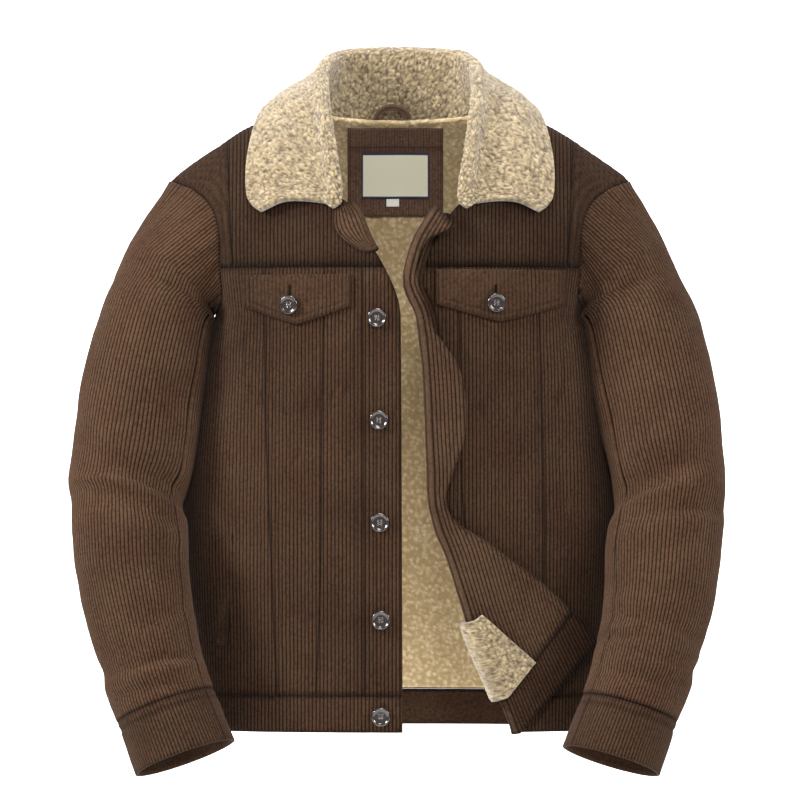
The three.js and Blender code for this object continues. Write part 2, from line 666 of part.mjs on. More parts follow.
// A point on a ring; turn runs from the outer side of the arm to its front
function ringPoint(rings, ring, turn, grow = 0) {
  const table = rings.map((row, index) => ({ ...row, index }));
  const value = (column) => along(table, 'index', ring, column);
  const tilt = THREE.MathUtils.degToRad(value('tilt'));
  const outwards = new THREE.Vector3(Math.cos(tilt), 0, Math.sin(tilt));
  const next = Math.min(ring + 0.5, rings.length - 1);
  const centreAt = (place) => new THREE.Vector3(
    ...['across', 'y', 'height'].map((column) => along(table, 'index', place, column)));
  const axis = centreAt(next).sub(centreAt(next - 1)).normalize();
  const front = axis.cross(outwards).normalize();
  if (front.y > 0) front.negate();
  const depth = foldDepth(ring, THREE.MathUtils.radToDeg(turn));
  return new THREE.Vector3(value('across'), value('y'), value('height'))
    .addScaledVector(outwards, Math.cos(turn) * (value('wide') + grow - depth))
    .addScaledVector(front, Math.sin(turn) * (value('deep') + grow - depth));
}

// The armhole seam as a ring: shoulder tip, front, underarm, back. Its points are gathered
// towards the underarm, where the side of the body turns fast.
const lowArmhole = { start: 0.6, gather: 1.6 };
function armholePoint(turn) {
  const isBack = turn > Math.PI;
  const even = isBack ? (2 * Math.PI - turn) / Math.PI : turn / Math.PI;
  const late = Math.max(even - lowArmhole.start, 0) / (1 - lowArmhole.start);
  const down = late > 0 ? mix(lowArmhole.start, 1, 1 - (1 - late) ** lowArmhole.gather) : even;
  const table = isBack ? backArmhole : frontArmhole;
  const across = along(table, 'down', down, 'across');
  const height = along(table, 'down', down, 'height');
  return bodySpot(across, height, isBack).point.add(new THREE.Vector3(armholeStart, 0, 0));
}
const armholeCentre = new THREE.Vector3(222, 0, -140);
const seamShare = 0.3;
const turnStep = 0.05;
const ringStep = 0.1;

function sleeveSpots(rings, sign, firstTurn, lastTurn, rowCount) {
  const lastRing = rings.length - 1;
  const fullTurn = (turn) => (turn + 2 * Math.PI) % (2 * Math.PI);
  // Direction out of the cloth between the armhole seam and the first ring
  const seamFace = (turn) => {
    const seamStep = armholePoint(fullTurn(turn + turnStep)).sub(armholePoint(fullTurn(turn - turnStep)));
    const onSeam = armholePoint(turn);
    const face = seamStep.cross(ringPoint(rings, 0, turn).sub(onSeam)).normalize();
    return face.dot(onSeam.sub(armholeCentre)) < 0 ? face.negate() : face;
  };
  return (u, v) => {
    const turn = THREE.MathUtils.degToRad(mix(firstTurn, lastTurn, u));
    const place = v * rowCount - 1;
    const full = fullTurn(turn);
    if (place < 0) {
      const point = armholePoint(full);
      return mirrored({ point, normal: point.clone().sub(armholeCentre).normalize() }, sign);
    }
    const ring = Math.min(place, lastRing);
    const point = ringPoint(rings, ring, full);
    const below = Math.min(ring + ringStep, lastRing);
    const acrossStep = ringPoint(rings, ring, full + turnStep).sub(ringPoint(rings, ring, full - turnStep));
    const downStep = ringPoint(rings, below, full).sub(ringPoint(rings, below - ringStep, full));
    const normal = acrossStep.cross(downStep).normalize();
    const outside = ringPoint(rings, ring, full, 1).sub(point);
    if (normal.dot(outside) < 0) normal.negate();
    if (ring < 1) normal.lerp(seamFace(full), seamShare * (1 - ring)).normalize();
    return mirrored({ point, normal }, sign);
  };
}

// Cuff: a doubled band round the end of the sleeve
const cuffHeight = 54;
const cuffSlope = { right: 21, left: 20 };
const cuffForward = 10;
const cuffStart = 0.004;
const cuffFlare = { wide: 1.5, deep: 1 };
const cuffTrim = 0.4;
function cuffSpots(rings, sign, side) {
  const end = rings[rings.length - 1];
  const cuffRings = [end, {
    ...end,
    across: end.across - cuffSlope[side],
    y: end.y - cuffForward,
    height: end.height - cuffHeight,
    wide: end.wide + cuffFlare.wide,
    deep: end.deep + cuffFlare.deep,
  }];
  return (u, v) => {
    const turn = 2 * Math.PI * u;
    const flat = (place, grow) => {
      const row = Object.fromEntries(Object.keys(end).map(
        (key) => [key, mix(cuffRings[0][key], cuffRings[1][key], place)]));
      const tilt = THREE.MathUtils.degToRad(row.tilt);
      const outwards = new THREE.Vector3(Math.cos(tilt), 0, Math.sin(tilt));
      const axis = new THREE.Vector3(-cuffSlope[side], -cuffForward, -cuffHeight).normalize();
      const front = axis.cross(outwards).normalize();
      if (front.y > 0) front.negate();
      return new THREE.Vector3(row.across, row.y, row.height)
        .addScaledVector(outwards, Math.cos(turn) * (row.wide + grow))
        .addScaledVector(front, Math.sin(turn) * (row.deep + grow));
    };
    const place = mix(cuffStart, 1, v);
    const point = flat(place, 0);
    return mirrored({ point, normal: flat(place, 1).sub(point).normalize() }, sign);
  };
}

const topSleeveTurns = { first: -105, last: 150 };
for (const [side, sign, rings] of [['right', -1, rightSleeve], ['left', 1, leftSleeve]]) {
  const rowCount = rings.length;
  const { first, last } = topSleeveTurns;
  const sleeve = (name, from, to, columns) => addPiece(`${side}_${name}`,
    clothWall(sleeveSpots(rings, sign, from, to, rowCount), columns, rowCount, 0, corduroy,
      { trim: seamGap }), cordColour);
  sleeve('top_sleeve', first, last, Math.round((sleeveSides * (last - first)) / 360));
  sleeve('under_sleeve', last, first + 360, Math.round((sleeveSides * (360 + first - last)) / 360));
  addPiece(`${side}_cuff`, clothWall(cuffSpots(rings, sign, side), sleeveSides, 2, 0, doubledCorduroy,
    { isTube: true, trim: cuffTrim }), cordColour);
}

// Collar: each row is a section from the neck seam up to the fold and over to the outer edge.
// The rows run from the front end to the middle of the back.
const collarRows = [
  { seam: 73, seamHeight: -85, lift: 15.5, back: 0, fold: 62, foldY: -106, foldHeight: -97,
    edge: 149, edgeY: -94, edgeHeight: -103 },
  { seam: 76, seamHeight: -73, lift: 15.5, back: 0, fold: 62, foldY: -101, foldHeight: -80,
    edge: 160, edgeY: -83, edgeHeight: -92 },
  { seam: 80, seamHeight: -53, lift: 12, back: 0, fold: 66, foldY: -89, foldHeight: -49,
    edge: 163, edgeY: -69, edgeHeight: -62 },
  { seam: 85, seamHeight: -24, lift: 11, back: 0, fold: 71, foldY: -69, foldHeight: -13,
    edge: 158, edgeY: -46, edgeHeight: -25 },
  { seam: 88, seamHeight: 6, lift: 12, back: 0, fold: 76, foldY: -34, foldHeight: 26,
    edge: 147, edgeY: -8, edgeHeight: 6 },
  { seam: 84, seamHeight: 11, lift: 9, back: 1, fold: 75, foldY: 6, foldHeight: 52,
    edge: 127, edgeY: 48, edgeHeight: 6 },
  { seam: 60, seamHeight: 5, lift: 7, back: 1, fold: 60, foldY: 38, foldHeight: 66,
    edge: 86, edgeY: 88, edgeHeight: -2 },
  { seam: 30, seamHeight: 2, lift: 6, back: 1, fold: 32, foldY: 51, foldHeight: 69,
    edge: 44, edgeY: 102, edgeHeight: -8 },
  { seam: 0, seamHeight: 0, lift: 6, back: 1, fold: 0, foldY: 55, foldHeight: 70,
    edge: 0, edgeY: 106, edgeHeight: -10 },
];
const collarRoll = { width: 20, drop: 4, crown: 5 };
const leafBulge = 9;
const leafLean = 0.6;
const collarTrim = 0.5;

const neckCentre = new THREE.Vector3(0, -20, 20);

// The neck seam's point on the body, moved on from the cloth there by a lift
function neckSeam(across, height, back, lift) {
  const { point, normal } = bodySpot(across, height, back);
  const onwards = neckCentre.clone().sub(point).projectOnPlane(normal).normalize();
  return point.addScaledVector(normal, -pileCollar - seamGap).addScaledVector(onwards, lift);
}

function collarSection(row, sign) {
  const seam = neckSeam(row.seam, row.seamHeight, row.back === 1, row.lift);
  const fold = new THREE.Vector3(row.fold, row.foldY, row.foldHeight);
  const edge = new THREE.Vector3(row.edge, row.edgeY, row.edgeHeight);
  const outwards = edge.clone().sub(fold).setZ(0).normalize();
  const up = fold.clone().sub(seam).projectOnPlane(outwards).normalize();
  const outerFold = fold.clone().addScaledVector(outwards, collarRoll.width)
    .addScaledVector(up, -collarRoll.drop);
  const crown = fold.clone().addScaledVector(outwards, collarRoll.width / 2)
    .addScaledVector(up, collarRoll.crown);
  const standMiddle = seam.clone().lerp(fold, 0.5);
  const leaf = edge.clone().sub(outerFold).normalize();
  const lift = new THREE.Vector3(0, 0, 1).projectOnPlane(leaf)
    .addScaledVector(outwards, leafLean).normalize();
  const leafMiddle = outerFold.clone().lerp(edge, 0.5).addScaledVector(lift, leafBulge);
  const points = [seam, standMiddle, fold, crown, outerFold, leafMiddle, edge];
  points.forEach((point) => { point.x *= sign; });
  return points;
}

const collarSections = [
  ...collarRows.map((row) => collarSection(row, -1)),
  ...collarRows.slice(0, -1).reverse().map((row) => collarSection(row, 1)),
];
const collarRails = collarSections[0].map((_, rail) => new THREE.CatmullRomCurve3(
  collarSections.map((section) => section[rail]), false, 'centripetal'));
function collarPoint(round, over) {
  const lastSection = collarSections.length - 1;
  const place = Math.min(Math.max(round, 0), 1) * lastSection;
  const points = collarRails.map((rail) => rail.getPoint(place / lastSection));
  return new THREE.CatmullRomCurve3(points, false, 'centripetal').getPoint(Math.min(Math.max(over, 0), 1));
}
function collarSpot(u, v) {
  const step = 0.01;
  const round = collarPoint(u + step, v).sub(collarPoint(u - step, v));
  const over = collarPoint(u, v + step).sub(collarPoint(u, v - step));
  return { point: collarPoint(u, v), normal: round.cross(over).normalize() };
}
addPiece('collar', clothWall(collarSpot, 24, 11, 0, pileCollar, { trim: collarTrim }), pileColour);

// Pieces that lie on a front: a grid between two sides, a top and a bottom that may curve
function onFront(sign, { near, far, top, bottomAt, leanAt = () => 0 }) {
  return (u, v) => {
    const height = mix(top, bottomAt(u), v);
    return mirrored(bodySpot(mix(far, near, u) + leanAt(v), height), sign);
  };
}

// Chest pocket flaps, pointed at the bottom
const flapShapes = {
  right: { near: 51, far: 164, top: -171, sideDrop: 33, pointDrop: 52 },
  left: { near: 37, far: 173, top: -166, sideDrop: 36, pointDrop: 54 },
};
const flapThickness = 3;
const flapGap = 1.2;
const flapPoint = 1.1;
for (const [side, sign] of [['right', -1], ['left', 1]]) {
  const shape = flapShapes[side];
  const bottomAt = (u) => shape.top
    - mix(shape.pointDrop, shape.sideDrop, Math.abs(2 * u - 1) ** flapPoint);
  addPiece(`${side}_pocket_flap`, clothWall(onFront(sign, { ...shape, bottomAt }),
    8, 3, -flapGap - flapThickness, -flapGap), cordColour);
}

// Hand pocket welts, leaning a little outwards at the bottom
const welt = { near: 179, far: 195, top: -405, bottom: -560, lean: 6, thickness: 1.5 };
for (const [side, sign] of [['right', -1], ['left', 1]]) {
  addPiece(`${side}_welt`, clothWall(
    onFront(sign, { ...welt, bottomAt: () => welt.bottom, leanAt: (v) => welt.lean * (v - 1) }),
    2, 7, -seamGap - welt.thickness, -seamGap), cordColour);
}

// Neck patch on the back lining, with a label, a size tab below it and a hanger loop above it
const neckPatch = { left: -57, right: 47, top: -4, bottom: -102, thickness: 1.5 };
const neckLabel = { left: -42, right: 32, top: -31, bottom: -82, thickness: 0.8 };
const sizeTab = { left: -15, right: -1, top: -82.5, bottom: -91, thickness: 0.6 };
function onBackLining({ left, right, top, bottom, thickness }, depth, columns, rows) {
  return clothWall((u, v) => bodySpot(mix(left, right, u), mix(top, bottom, v), true),
    columns, rows, depth, depth + thickness);
}
const patchSink = 0.9;
const patchDepth = liningEnd + patchSink;
const labelDepth = patchDepth + neckPatch.thickness + seamGap;
addPiece('neck_patch', onBackLining(neckPatch, patchDepth, 8, 7), patchColour);
addPiece('neck_label', onBackLining(neckLabel, labelDepth, 6, 4), labelColour);
addPiece('size_tab', onBackLining(sizeTab, labelDepth, 2, 1), tabColour);

const loop = { centre: -8, halfSpan: 20, halfWidth: 3.5, rise: 13, foot: -3, y: 44.4, thickness: 2 };
addPiece('hanger_loop', clothWall((u, v) => {
  const turn = Math.PI * u;
  const swing = new THREE.Vector3(-Math.cos(turn), 0, Math.sin(turn));
  const reach = mix(1, (loop.halfSpan - 2 * loop.halfWidth) / loop.halfSpan, v);
  const point = new THREE.Vector3(loop.centre + swing.x * loop.halfSpan * reach,
    loop.y, loop.foot + swing.z * (loop.rise + loop.halfWidth * (1 - 2 * v)));
  return { point, normal: new THREE.Vector3(0, -1, 0) };
}, 12, 1, 0, loop.thickness), patchColour);

// Buttons: a disc with a raised rim and a dished face, on a thread shank
const button = { radius: 10, thickness: 3.6, dish: 1.4, rim: 2.4, shankRadius: 2.5, standOff: 1.6 };
const buttonSides = 12;
function buttonGeometry(shank) {
  const { radius, thickness, dish, rim, shankRadius } = button;
  const profile = [
    [0, 0], [shankRadius, 0], [shankRadius, shank], [radius - 1, shank], [radius, shank + thickness / 2],
    [radius - rim / 2, shank + thickness], [radius - rim - 1, shank + thickness - dish],
    [0, shank + thickness - dish],
  ].map(([x, y]) => new THREE.Vector2(x, y));
  return new THREE.LatheGeometry(profile, buttonSides);
}

function addButton(name, across, height, lift, sign) {
  const { point, normal } = mirrored(bodySpot(across, height), sign);
  const mesh = addPiece(name, buttonGeometry(button.standOff), buttonColour);
  mesh.position.copy(point.addScaledVector(normal, lift + seamGap));
  mesh.quaternion.setFromUnitVectors(new THREE.Vector3(0, 1, 0), normal);
}
const bandButtons = [
  { across: 24, height: -216 }, { across: 22, height: -323 },
  { across: 21, height: -430 }, { across: 20, height: -532 },
];
bandButtons.forEach(({ across, height }, index) => addButton(
  `band_button_${index + 1}`, across, height, 0, -1));
addButton('hem_button', 20, -633, 0, -1);
addButton('right_flap_button', 114, -202, flapGap + flapThickness + seamGap, -1);
addButton('left_flap_button', 99, -200, flapGap + flapThickness + seamGap, 1);

export default jacket;
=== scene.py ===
import math
import bpy
import numpy as np
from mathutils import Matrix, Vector, noise


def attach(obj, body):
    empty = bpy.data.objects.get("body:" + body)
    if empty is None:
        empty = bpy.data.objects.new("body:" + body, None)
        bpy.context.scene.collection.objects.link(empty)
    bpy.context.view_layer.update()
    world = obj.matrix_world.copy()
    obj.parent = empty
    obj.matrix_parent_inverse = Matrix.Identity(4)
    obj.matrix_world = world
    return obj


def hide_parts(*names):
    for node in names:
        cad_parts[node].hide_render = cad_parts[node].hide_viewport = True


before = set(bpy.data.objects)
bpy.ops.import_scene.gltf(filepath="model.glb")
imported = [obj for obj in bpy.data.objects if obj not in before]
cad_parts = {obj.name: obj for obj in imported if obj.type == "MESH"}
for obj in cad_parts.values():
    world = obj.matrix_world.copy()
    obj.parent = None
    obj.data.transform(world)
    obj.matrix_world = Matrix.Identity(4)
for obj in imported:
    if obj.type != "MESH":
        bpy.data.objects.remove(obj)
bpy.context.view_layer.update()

# The studio: a white sweep behind the jacket, soft boxes on both sides and overhead, and a long
# lens straight in front at half the jacket's height, so the view is almost without perspective.
MM = 0.001
view_width = 0.848
view_height = -0.302
camera_distance = 8.0
camera_data = bpy.data.cameras.new("camera")
camera_data.lens = camera_data.sensor_width * camera_distance / view_width
camera_data.clip_end = 40
camera = bpy.data.objects.new("camera", camera_data)
camera.location = (0, -camera_distance, view_height)
camera.rotation_euler = (math.radians(90), 0, 0)
bpy.context.collection.objects.link(camera)
bpy.context.scene.camera = camera
bpy.context.scene.view_settings.view_transform = "Standard"

world = bpy.data.worlds.new("studio")
world.use_nodes = True
world.node_tree.nodes["Background"].inputs["Color"].default_value = (1, 1, 1, 1)
world.node_tree.nodes["Background"].inputs["Strength"].default_value = 0.5
bpy.context.scene.world = world


def soft_box(name, place, size, power):
    lamp = bpy.data.lights.new(name, "AREA")
    lamp.energy = power
    lamp.size = size
    box = bpy.data.objects.new(name, lamp)
    box.location = place
    aim = Vector((0, 0, view_height)) - Vector(place)
    box.rotation_euler = aim.to_track_quat("-Z", "Y").to_euler()
    bpy.context.collection.objects.link(box)


soft_box("key", (-3.0, -1.2, 1.3), 0.8, 250)
soft_box("fill", (2.9, -1.5, 1.0), 1.1, 112)
soft_box("front", (0.15, -3.0, 1.5), 0.7, 62)
soft_box("overhead", (0.1, -0.5, 2.3), 0.9, 70)
soft_box("behind", (0.6, 2.0, 1.4), 1.4, 22)

floor_level = -1.3
sweep_rows = [(-3.0, floor_level), (1.6, floor_level)]
sweep_rows += [(1.6 + 0.9 * math.sin(a), floor_level + 0.9 * (1 - math.cos(a)))
               for a in np.linspace(0.1, math.pi / 2, 12)]
sweep_rows.append((2.5, 0.36))
sweep_mesh = bpy.data.meshes.new("sweep")
sweep_mesh.from_pydata(
    [(x, y, z) for y, z in sweep_rows for x in (-5, 5)], [],
    [(2 * i, 2 * i + 1, 2 * i + 3, 2 * i + 2) for i in range(len(sweep_rows) - 1)])
sweep = bpy.data.objects.new("sweep", sweep_mesh)
bpy.context.collection.objects.link(sweep)


class Wire:
    """A shader socket that takes part in ordinary sums."""

    def __init__(self, tree, socket):
        self.tree = tree
        self.socket = socket

    def maths(self, operation, *values):
        node = self.tree.nodes.new("ShaderNodeMath")
        node.operation = operation
        for socket, value in zip(node.inputs, values):
            plug(self.tree, socket, value)
        return Wire(self.tree, node.outputs[0])

    def __add__(self, other):
        return self.maths("ADD", self, other)

    def __radd__(self, other):
        return self.maths("ADD", other, self)

    def __sub__(self, other):
        return self.maths("SUBTRACT", self, other)

    def __rsub__(self, other):
        return self.maths("SUBTRACT", other, self)

    def __mul__(self, other):
        return self.maths("MULTIPLY", self, other)

    def __rmul__(self, other):
        return self.maths("MULTIPLY", other, self)

    def clipped(self):
        wire = self.maths("ADD", self, 0)
        wire.socket.node.use_clamp = True
        return wire


def plug(tree, socket, value):
    if isinstance(value, Wire):
        tree.links.new(value.socket, socket)
    elif isinstance(value, (tuple, list)):
        socket.default_value = (*value, 1)[:len(socket.default_value)]
    else:
        socket.default_value = value


def add_node(tree, kind, settings=None, output=0, **sockets):
    """One node of a kind: its settings first, then the values or links of its sockets."""
    node = tree.nodes.new(kind)
    for setting, value in (settings or {}).items():
        setattr(node, setting, value)
    for name, value in sockets.items():
        plug(tree, node.inputs[name], value)
    return Wire(tree, node.outputs[output])


def mark(tree, name):
    """A value that each point of the mesh carries."""
    return add_node(tree, "ShaderNodeAttribute", {"attribute_name": name}, output=2)


def speckle(tree, place, scale, detail=2.0, **sockets):
    """Uneven value from 0 to 1; the scale is in spots for each metre."""
    return add_node(tree, "ShaderNodeTexNoise", Vector=place, Scale=scale, Detail=detail, **sockets)


def blend(low, high, share):
    """Mixes two colours by a share from 0 to 1."""
    tree = share.tree
    node = tree.nodes.new("ShaderNodeMix")
    node.data_type = "RGBA"
    for socket, value in ((node.inputs[0], share), (node.inputs[6], low), (node.inputs[7], high)):
        plug(tree, socket, value)
    return Wire(tree, node.outputs[2])


def finish(name, colour_of, bump_of=None, bump_depth=0.0004, **constants):
    """A material: colour_of gives its colour, bump_of its height, constants go on the shader."""
    material = bpy.data.materials.new(name)
    material.use_nodes = True
    tree = material.node_tree
    shader = tree.nodes["Principled BSDF"]
    for socket, value in constants.items():
        shader.inputs[socket.replace("_", " ")].default_value = value
    place = add_node(tree, "ShaderNodeTexCoord", output=3)
    plug(tree, shader.inputs["Base Color"], colour_of(tree, place))
    if bump_of:
        bump = add_node(tree, "ShaderNodeBump", Distance=bump_depth, Strength=1.0,
                        Height=bump_of(tree, place))
        plug(tree, shader.inputs["Normal"], bump)
    return material


sweep_white = finish("sweep_white", lambda tree, place: blend(
    (0.92, 0.92, 0.915), (0.95, 0.95, 0.945), add_node(tree, "ShaderNodeTexNoise", Scale=2.0)),
    Roughness=0.9)
sweep.data.materials.append(sweep_white)


# Right and left fronts, back and hem bands. The shell is brown corduroy with ribs 4 mm apart, cut
# in panels that are joined by flat seams sewn down with two rows of stitches. It hangs from the
# shoulders as on a wearer. Sizes are in millimetres and turned to metres when a mesh is made.
chest_height = -200
underarm_height = -213
yoke_seam = -163
back_yoke_seam = -150
hem_seam = -612
hem = -650
squareness = 2.3
cord_depth = 2.0
hem_depth = 3.0
seam_gap = 0.15

outline = np.array([
    (30, 252, 110, 112), (-60, 251, 113, 115), (-110, 240, 115, 117), (-160, 214, 116, 118),
    (-213, 196, 116, 117), (-240, 198, 116, 116), (-280, 206, 116, 114), (-340, 216, 117, 112),
    (-400, 226, 119, 113), (-500, 226, 119, 115), (-612, 218, 114, 113), (-680, 214, 110, 110)], float)
shoulder_line = np.array([
    (0, 25), (85, 15), (125, 3), (163, -14), (199, -37), (232, -60), (243, -70), (260, -88)], float)
front_armhole = np.array([
    (0, 243, -70), (0.16, 219, -80), (0.32, 200, -98), (0.48, 191, -124), (0.68, 190, -160),
    (0.86, 188, -194), (1, 196, -213)], float)
back_armhole = np.array([
    (0, 243, -70), (0.16, 222, -81), (0.32, 206, -99), (0.48, 199, -125), (0.68, 193, -160),
    (0.86, 190, -194), (1, 196, -213)], float)
rounding = {False: (1.6, 0.5), True: (2.2, 0.42)}


def along(table, place, column, key=0):
    """Smooth value of a table's column at a place along its key column."""
    rows = table if table[-1, key] > table[0, key] else table[::-1]
    keys, values = rows[:, key], rows[:, column]
    place = np.asarray(place, float)
    at = np.clip(np.searchsorted(keys, place, side="right") - 1, 0, len(keys) - 2)
    before, after = np.maximum(at - 1, 0), np.minimum(at + 2, len(keys) - 1)
    span = keys[at + 1] - keys[at]
    part = np.clip((place - keys[at]) / span, 0, 1)
    start = (values[at + 1] - values[before]) / (keys[at + 1] - keys[before])
    end = (values[after] - values[at]) / (keys[after] - keys[at])
    square, cube = part ** 2, part ** 3
    return (values[at] * (2 * cube - 3 * square + 1) + values[at + 1] * (3 * square - 2 * cube)
            + span * (start * (cube - 2 * square + part) + end * (cube - square)))


def mix(low, high, part):
    return low + (high - low) * part


def unit(vectors):
    return vectors / np.maximum(np.linalg.norm(vectors, axis=-1, keepdims=True), 1e-9)


def half_width(height):
    return along(outline, height, 1)


def shoulder_at(across):
    return along(shoulder_line, np.abs(across), 1)


def angle_at(across, height):
    part = np.minimum(np.abs(across) / half_width(height), 1)
    return np.sign(across) * np.arcsin(part ** (squareness / 2))


def body_point(angle, height, back):
    """Place on the outside of the body by the angle round its cross-section."""
    angle, height = np.broadcast_arrays(np.asarray(angle, float), np.asarray(height, float))
    sine, cosine = np.sin(angle), np.cos(angle)
    across = half_width(height) * np.sign(sine) * np.abs(sine) ** (2 / squareness)
    reach = np.sign(cosine) * np.abs(cosine) ** (2 / squareness)
    shoulder = shoulder_at(across)
    drop = np.clip((shoulder - height) / (shoulder - chest_height), 0, 1)
    curve, power = rounding[back]
    fall = (1 - (1 - drop) ** curve) ** power
    depth = along(outline, height, 3 if back else 2) * reach * fall
    return np.stack([across, depth if back else -depth, height], -1)


def body_spot(across, height, back=False):
    """Point and outward direction of the body at a distance from its middle and a height."""
    across, height = np.broadcast_arrays(np.asarray(across, float), np.asarray(height, float))
    angle = angle_at(across, height)
    point = body_point(angle, height, back)
    around = body_point(angle + 0.02, height, back) - body_point(angle - 0.02, height, back)
    up = body_point(angle, height + 1, back) - body_point(angle, height - 1, back)
    normal = unit(np.cross(around, up))
    if back:
        normal = -normal
    shoulder = shoulder_at(point[..., 0])
    upright = 1 - (shoulder - height) / (shoulder - chest_height) / 0.06
    upright = np.clip(upright, 0, 1)[..., None]
    far = np.abs(point[..., 0])
    slope = (shoulder_at(far + 1) - shoulder_at(far - 1)) / 2
    seam = unit(np.stack([-slope * np.sign(point[..., 0]), np.zeros_like(slope), np.ones_like(slope)], -1))
    return point, np.where(upright > 0, unit(mix(normal, seam, upright)), normal)


def rib_height(place, pitch=4.0):
    """Height of a corduroy rib, 0 in the groove and 1 on the crown."""
    part = np.abs((place / pitch) % 1 - 0.5) * 2
    return np.sqrt(np.maximum(1 - part ** 2.6, 0))


def cell_noise(points, size, seed=0.0):
    """Soft uneven value from -1 to 1 at each point."""
    flat = points.reshape(-1, 3) / size + seed
    values = [noise.noise(Vector(p)) for p in flat]
    return np.array(values).reshape(points.shape[:-1])


def line_mark(distance, width):
    """1 on a line that the distance is measured from, fading out over a width."""
    return np.exp(-(distance / width) ** 2)


def make_mesh(name, points, faces, material, marks):
    """A smooth mesh in metres with a value per point for its colour."""
    mesh = bpy.data.meshes.new(name)
    mesh.from_pydata((points * MM).tolist(), [], faces.tolist() if hasattr(faces, "tolist") else faces)
    for mark, values in marks.items():
        mesh.attributes.new(mark, "FLOAT", "POINT").data.foreach_set("value", np.asarray(values, np.float32))
    mesh.polygons.foreach_set("use_smooth", np.ones(len(mesh.polygons), bool))
    mesh.materials.append(material)
    piece = bpy.data.objects.new(name, mesh)
    bpy.context.collection.objects.link(piece)
    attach(piece, "root")
    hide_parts(name)


def wall(name, outer, inner, marks, material, tube=False, coarse=4):
    """Closes a fine outer grid and a coarser inner one into a thin shell. Points that fall together
    where a grid is cut along a slanted seam are made one."""
    rows, columns = outer.shape[:2]
    index = np.arange(rows * columns).reshape(rows, columns)
    picked = np.arange(0, columns, coarse)
    if not tube and picked[-1] != columns - 1:
        picked = np.append(picked, columns - 1)
    inner = inner[:, picked]
    inner_index = rows * columns + np.arange(rows * len(picked)).reshape(rows, len(picked))
    points = np.concatenate([outer.reshape(-1, 3), inner.reshape(-1, 3)])
    faces = []

    def quads(grid, flip):
        wrap = np.concatenate([grid, grid[:, :1]], 1) if tube else grid
        a, b, c, d = wrap[:-1, :-1], wrap[:-1, 1:], wrap[1:, 1:], wrap[1:, :-1]
        order = (a, d, c, b) if flip else (a, b, c, d)
        faces.extend(np.stack(order, -1).reshape(-1, 4).tolist())

    quads(index, False)
    quads(inner_index, True)
    ends = list(picked) + ([columns] if tube else [])
    for row, flip in ((0, True), (rows - 1, False)):
        for number in range(len(ends) - 1):
            low, high = ends[number], ends[number + 1]
            fine = [int(index[row, at % columns]) for at in range(low, high + 1)]
            close = [int(inner_index[row, (number + 1) % len(picked)]), int(inner_index[row, number])]
            ring = fine + close
            faces.append(ring[::-1] if flip else ring)
    if not tube:
        for side, flip in ((0, False), (-1, True)):
            for row in range(rows - 1):
                ring = [int(index[row, side]), int(index[row + 1, side]),
                        int(inner_index[row + 1, side]), int(inner_index[row, side])]
                faces.append(ring[::-1] if flip else ring)
    keys = np.round(points * 50).astype(np.int64)
    _, first, same = np.unique(keys, axis=0, return_index=True, return_inverse=True)
    same = same.reshape(-1)
    clean = []
    for face in faces:
        ring = []
        for corner in face:
            corner = int(same[corner])
            if not ring or ring[-1] != corner:
                ring.append(corner)
        if len(ring) > 2 and ring[0] == ring[-1]:
            ring.pop()
        if len(set(ring)) == len(ring) and len(ring) > 2:
            clean.append(ring)
    flat_marks = {}
    for mark, values in marks.items():
        joined = np.concatenate([values.reshape(-1), values[:, picked].reshape(-1)])
        flat_marks[mark] = joined[first]
    make_mesh(name, points[first], clean, material, flat_marks)


def shell_spot(angle, height, back=False):
    """Point and outward direction by the angle round the body."""
    across = body_point(angle, height, back)[..., 0]
    return body_spot(across, height, back)


def level_grid(heights, near, far, back=False, step=1.0):
    """Points of a panel in level rows. Columns keep to the cloth's ribs, and are cut off at the seams
    near and far; both are distances from the middle of the body at a height."""
    turns = np.linspace(0, math.pi / 2, 400)
    rows = []
    for height in heights:
        edge = body_point(turns, height, back)
        lengths = np.append(0, np.cumsum(np.linalg.norm(np.diff(edge, axis=0), axis=1)))
        ends = []
        for place in (near(height), far(height)):
            turn = float(angle_at(place, height))
            ends.append(math.copysign(np.interp(abs(turn), turns, lengths), turn))
        rows.append((ends[0] + seam_gap, ends[1] - seam_gap, lengths))
    low = math.floor(min(row[0] for row in rows))
    high = math.ceil(max(row[1] for row in rows))
    lines = np.arange(low, high + step, step)
    cloth = np.stack([np.clip(lines, row[0], row[1]) for row in rows])
    angle = np.stack([np.sign(line) * np.interp(np.abs(line), row[2], turns)
                      for line, row in zip(cloth, rows)])
    level = np.broadcast_to(np.asarray(heights, float)[:, None], cloth.shape)
    inset = np.stack([cloth - np.array([[row[0]] for row in rows]),
                      np.array([[row[1]] for row in rows]) - cloth])
    point, normal = shell_spot(angle, level, back)
    return point, normal, cloth, inset


def mirror(sign, point, normal):
    flip = np.array([sign, 1, 1])
    return point * flip, normal * flip


def beside_line(point, x0, z0, x1, z1):
    """How far along a line in the front view each point is, from 0 to 1, and how far from it."""
    place = point[..., (0, 2)]
    start, way = np.array([x0, z0]), np.array([x1 - x0, z1 - z0])
    part = np.clip((place - start) @ way / (way @ way), 0, 1)
    return part, np.linalg.norm(place - start - part[..., None] * way, axis=-1)


def creases(point, table):
    """Soft troughs and ridges, each along a line in the front view: from x, z to x, z, how wide
    it is and how deep, where a depth below zero is a ridge."""
    lift = np.zeros(point.shape[:-1])
    for *line, width, depth in table:
        part, away = beside_line(point, *line)
        lift -= depth * line_mark(away, width) * (0.35 + 0.65 * np.sin(math.pi * part))
    return lift


def stitch_lines(point, lines):
    """Rows of stitches along straight lines in the front view, each from x, z to x, z."""
    sewn = np.zeros(point.shape[:-1])
    for line in lines:
        sewn = np.maximum(sewn, line_mark(beside_line(point, *line)[1], 0.9))
    return sewn


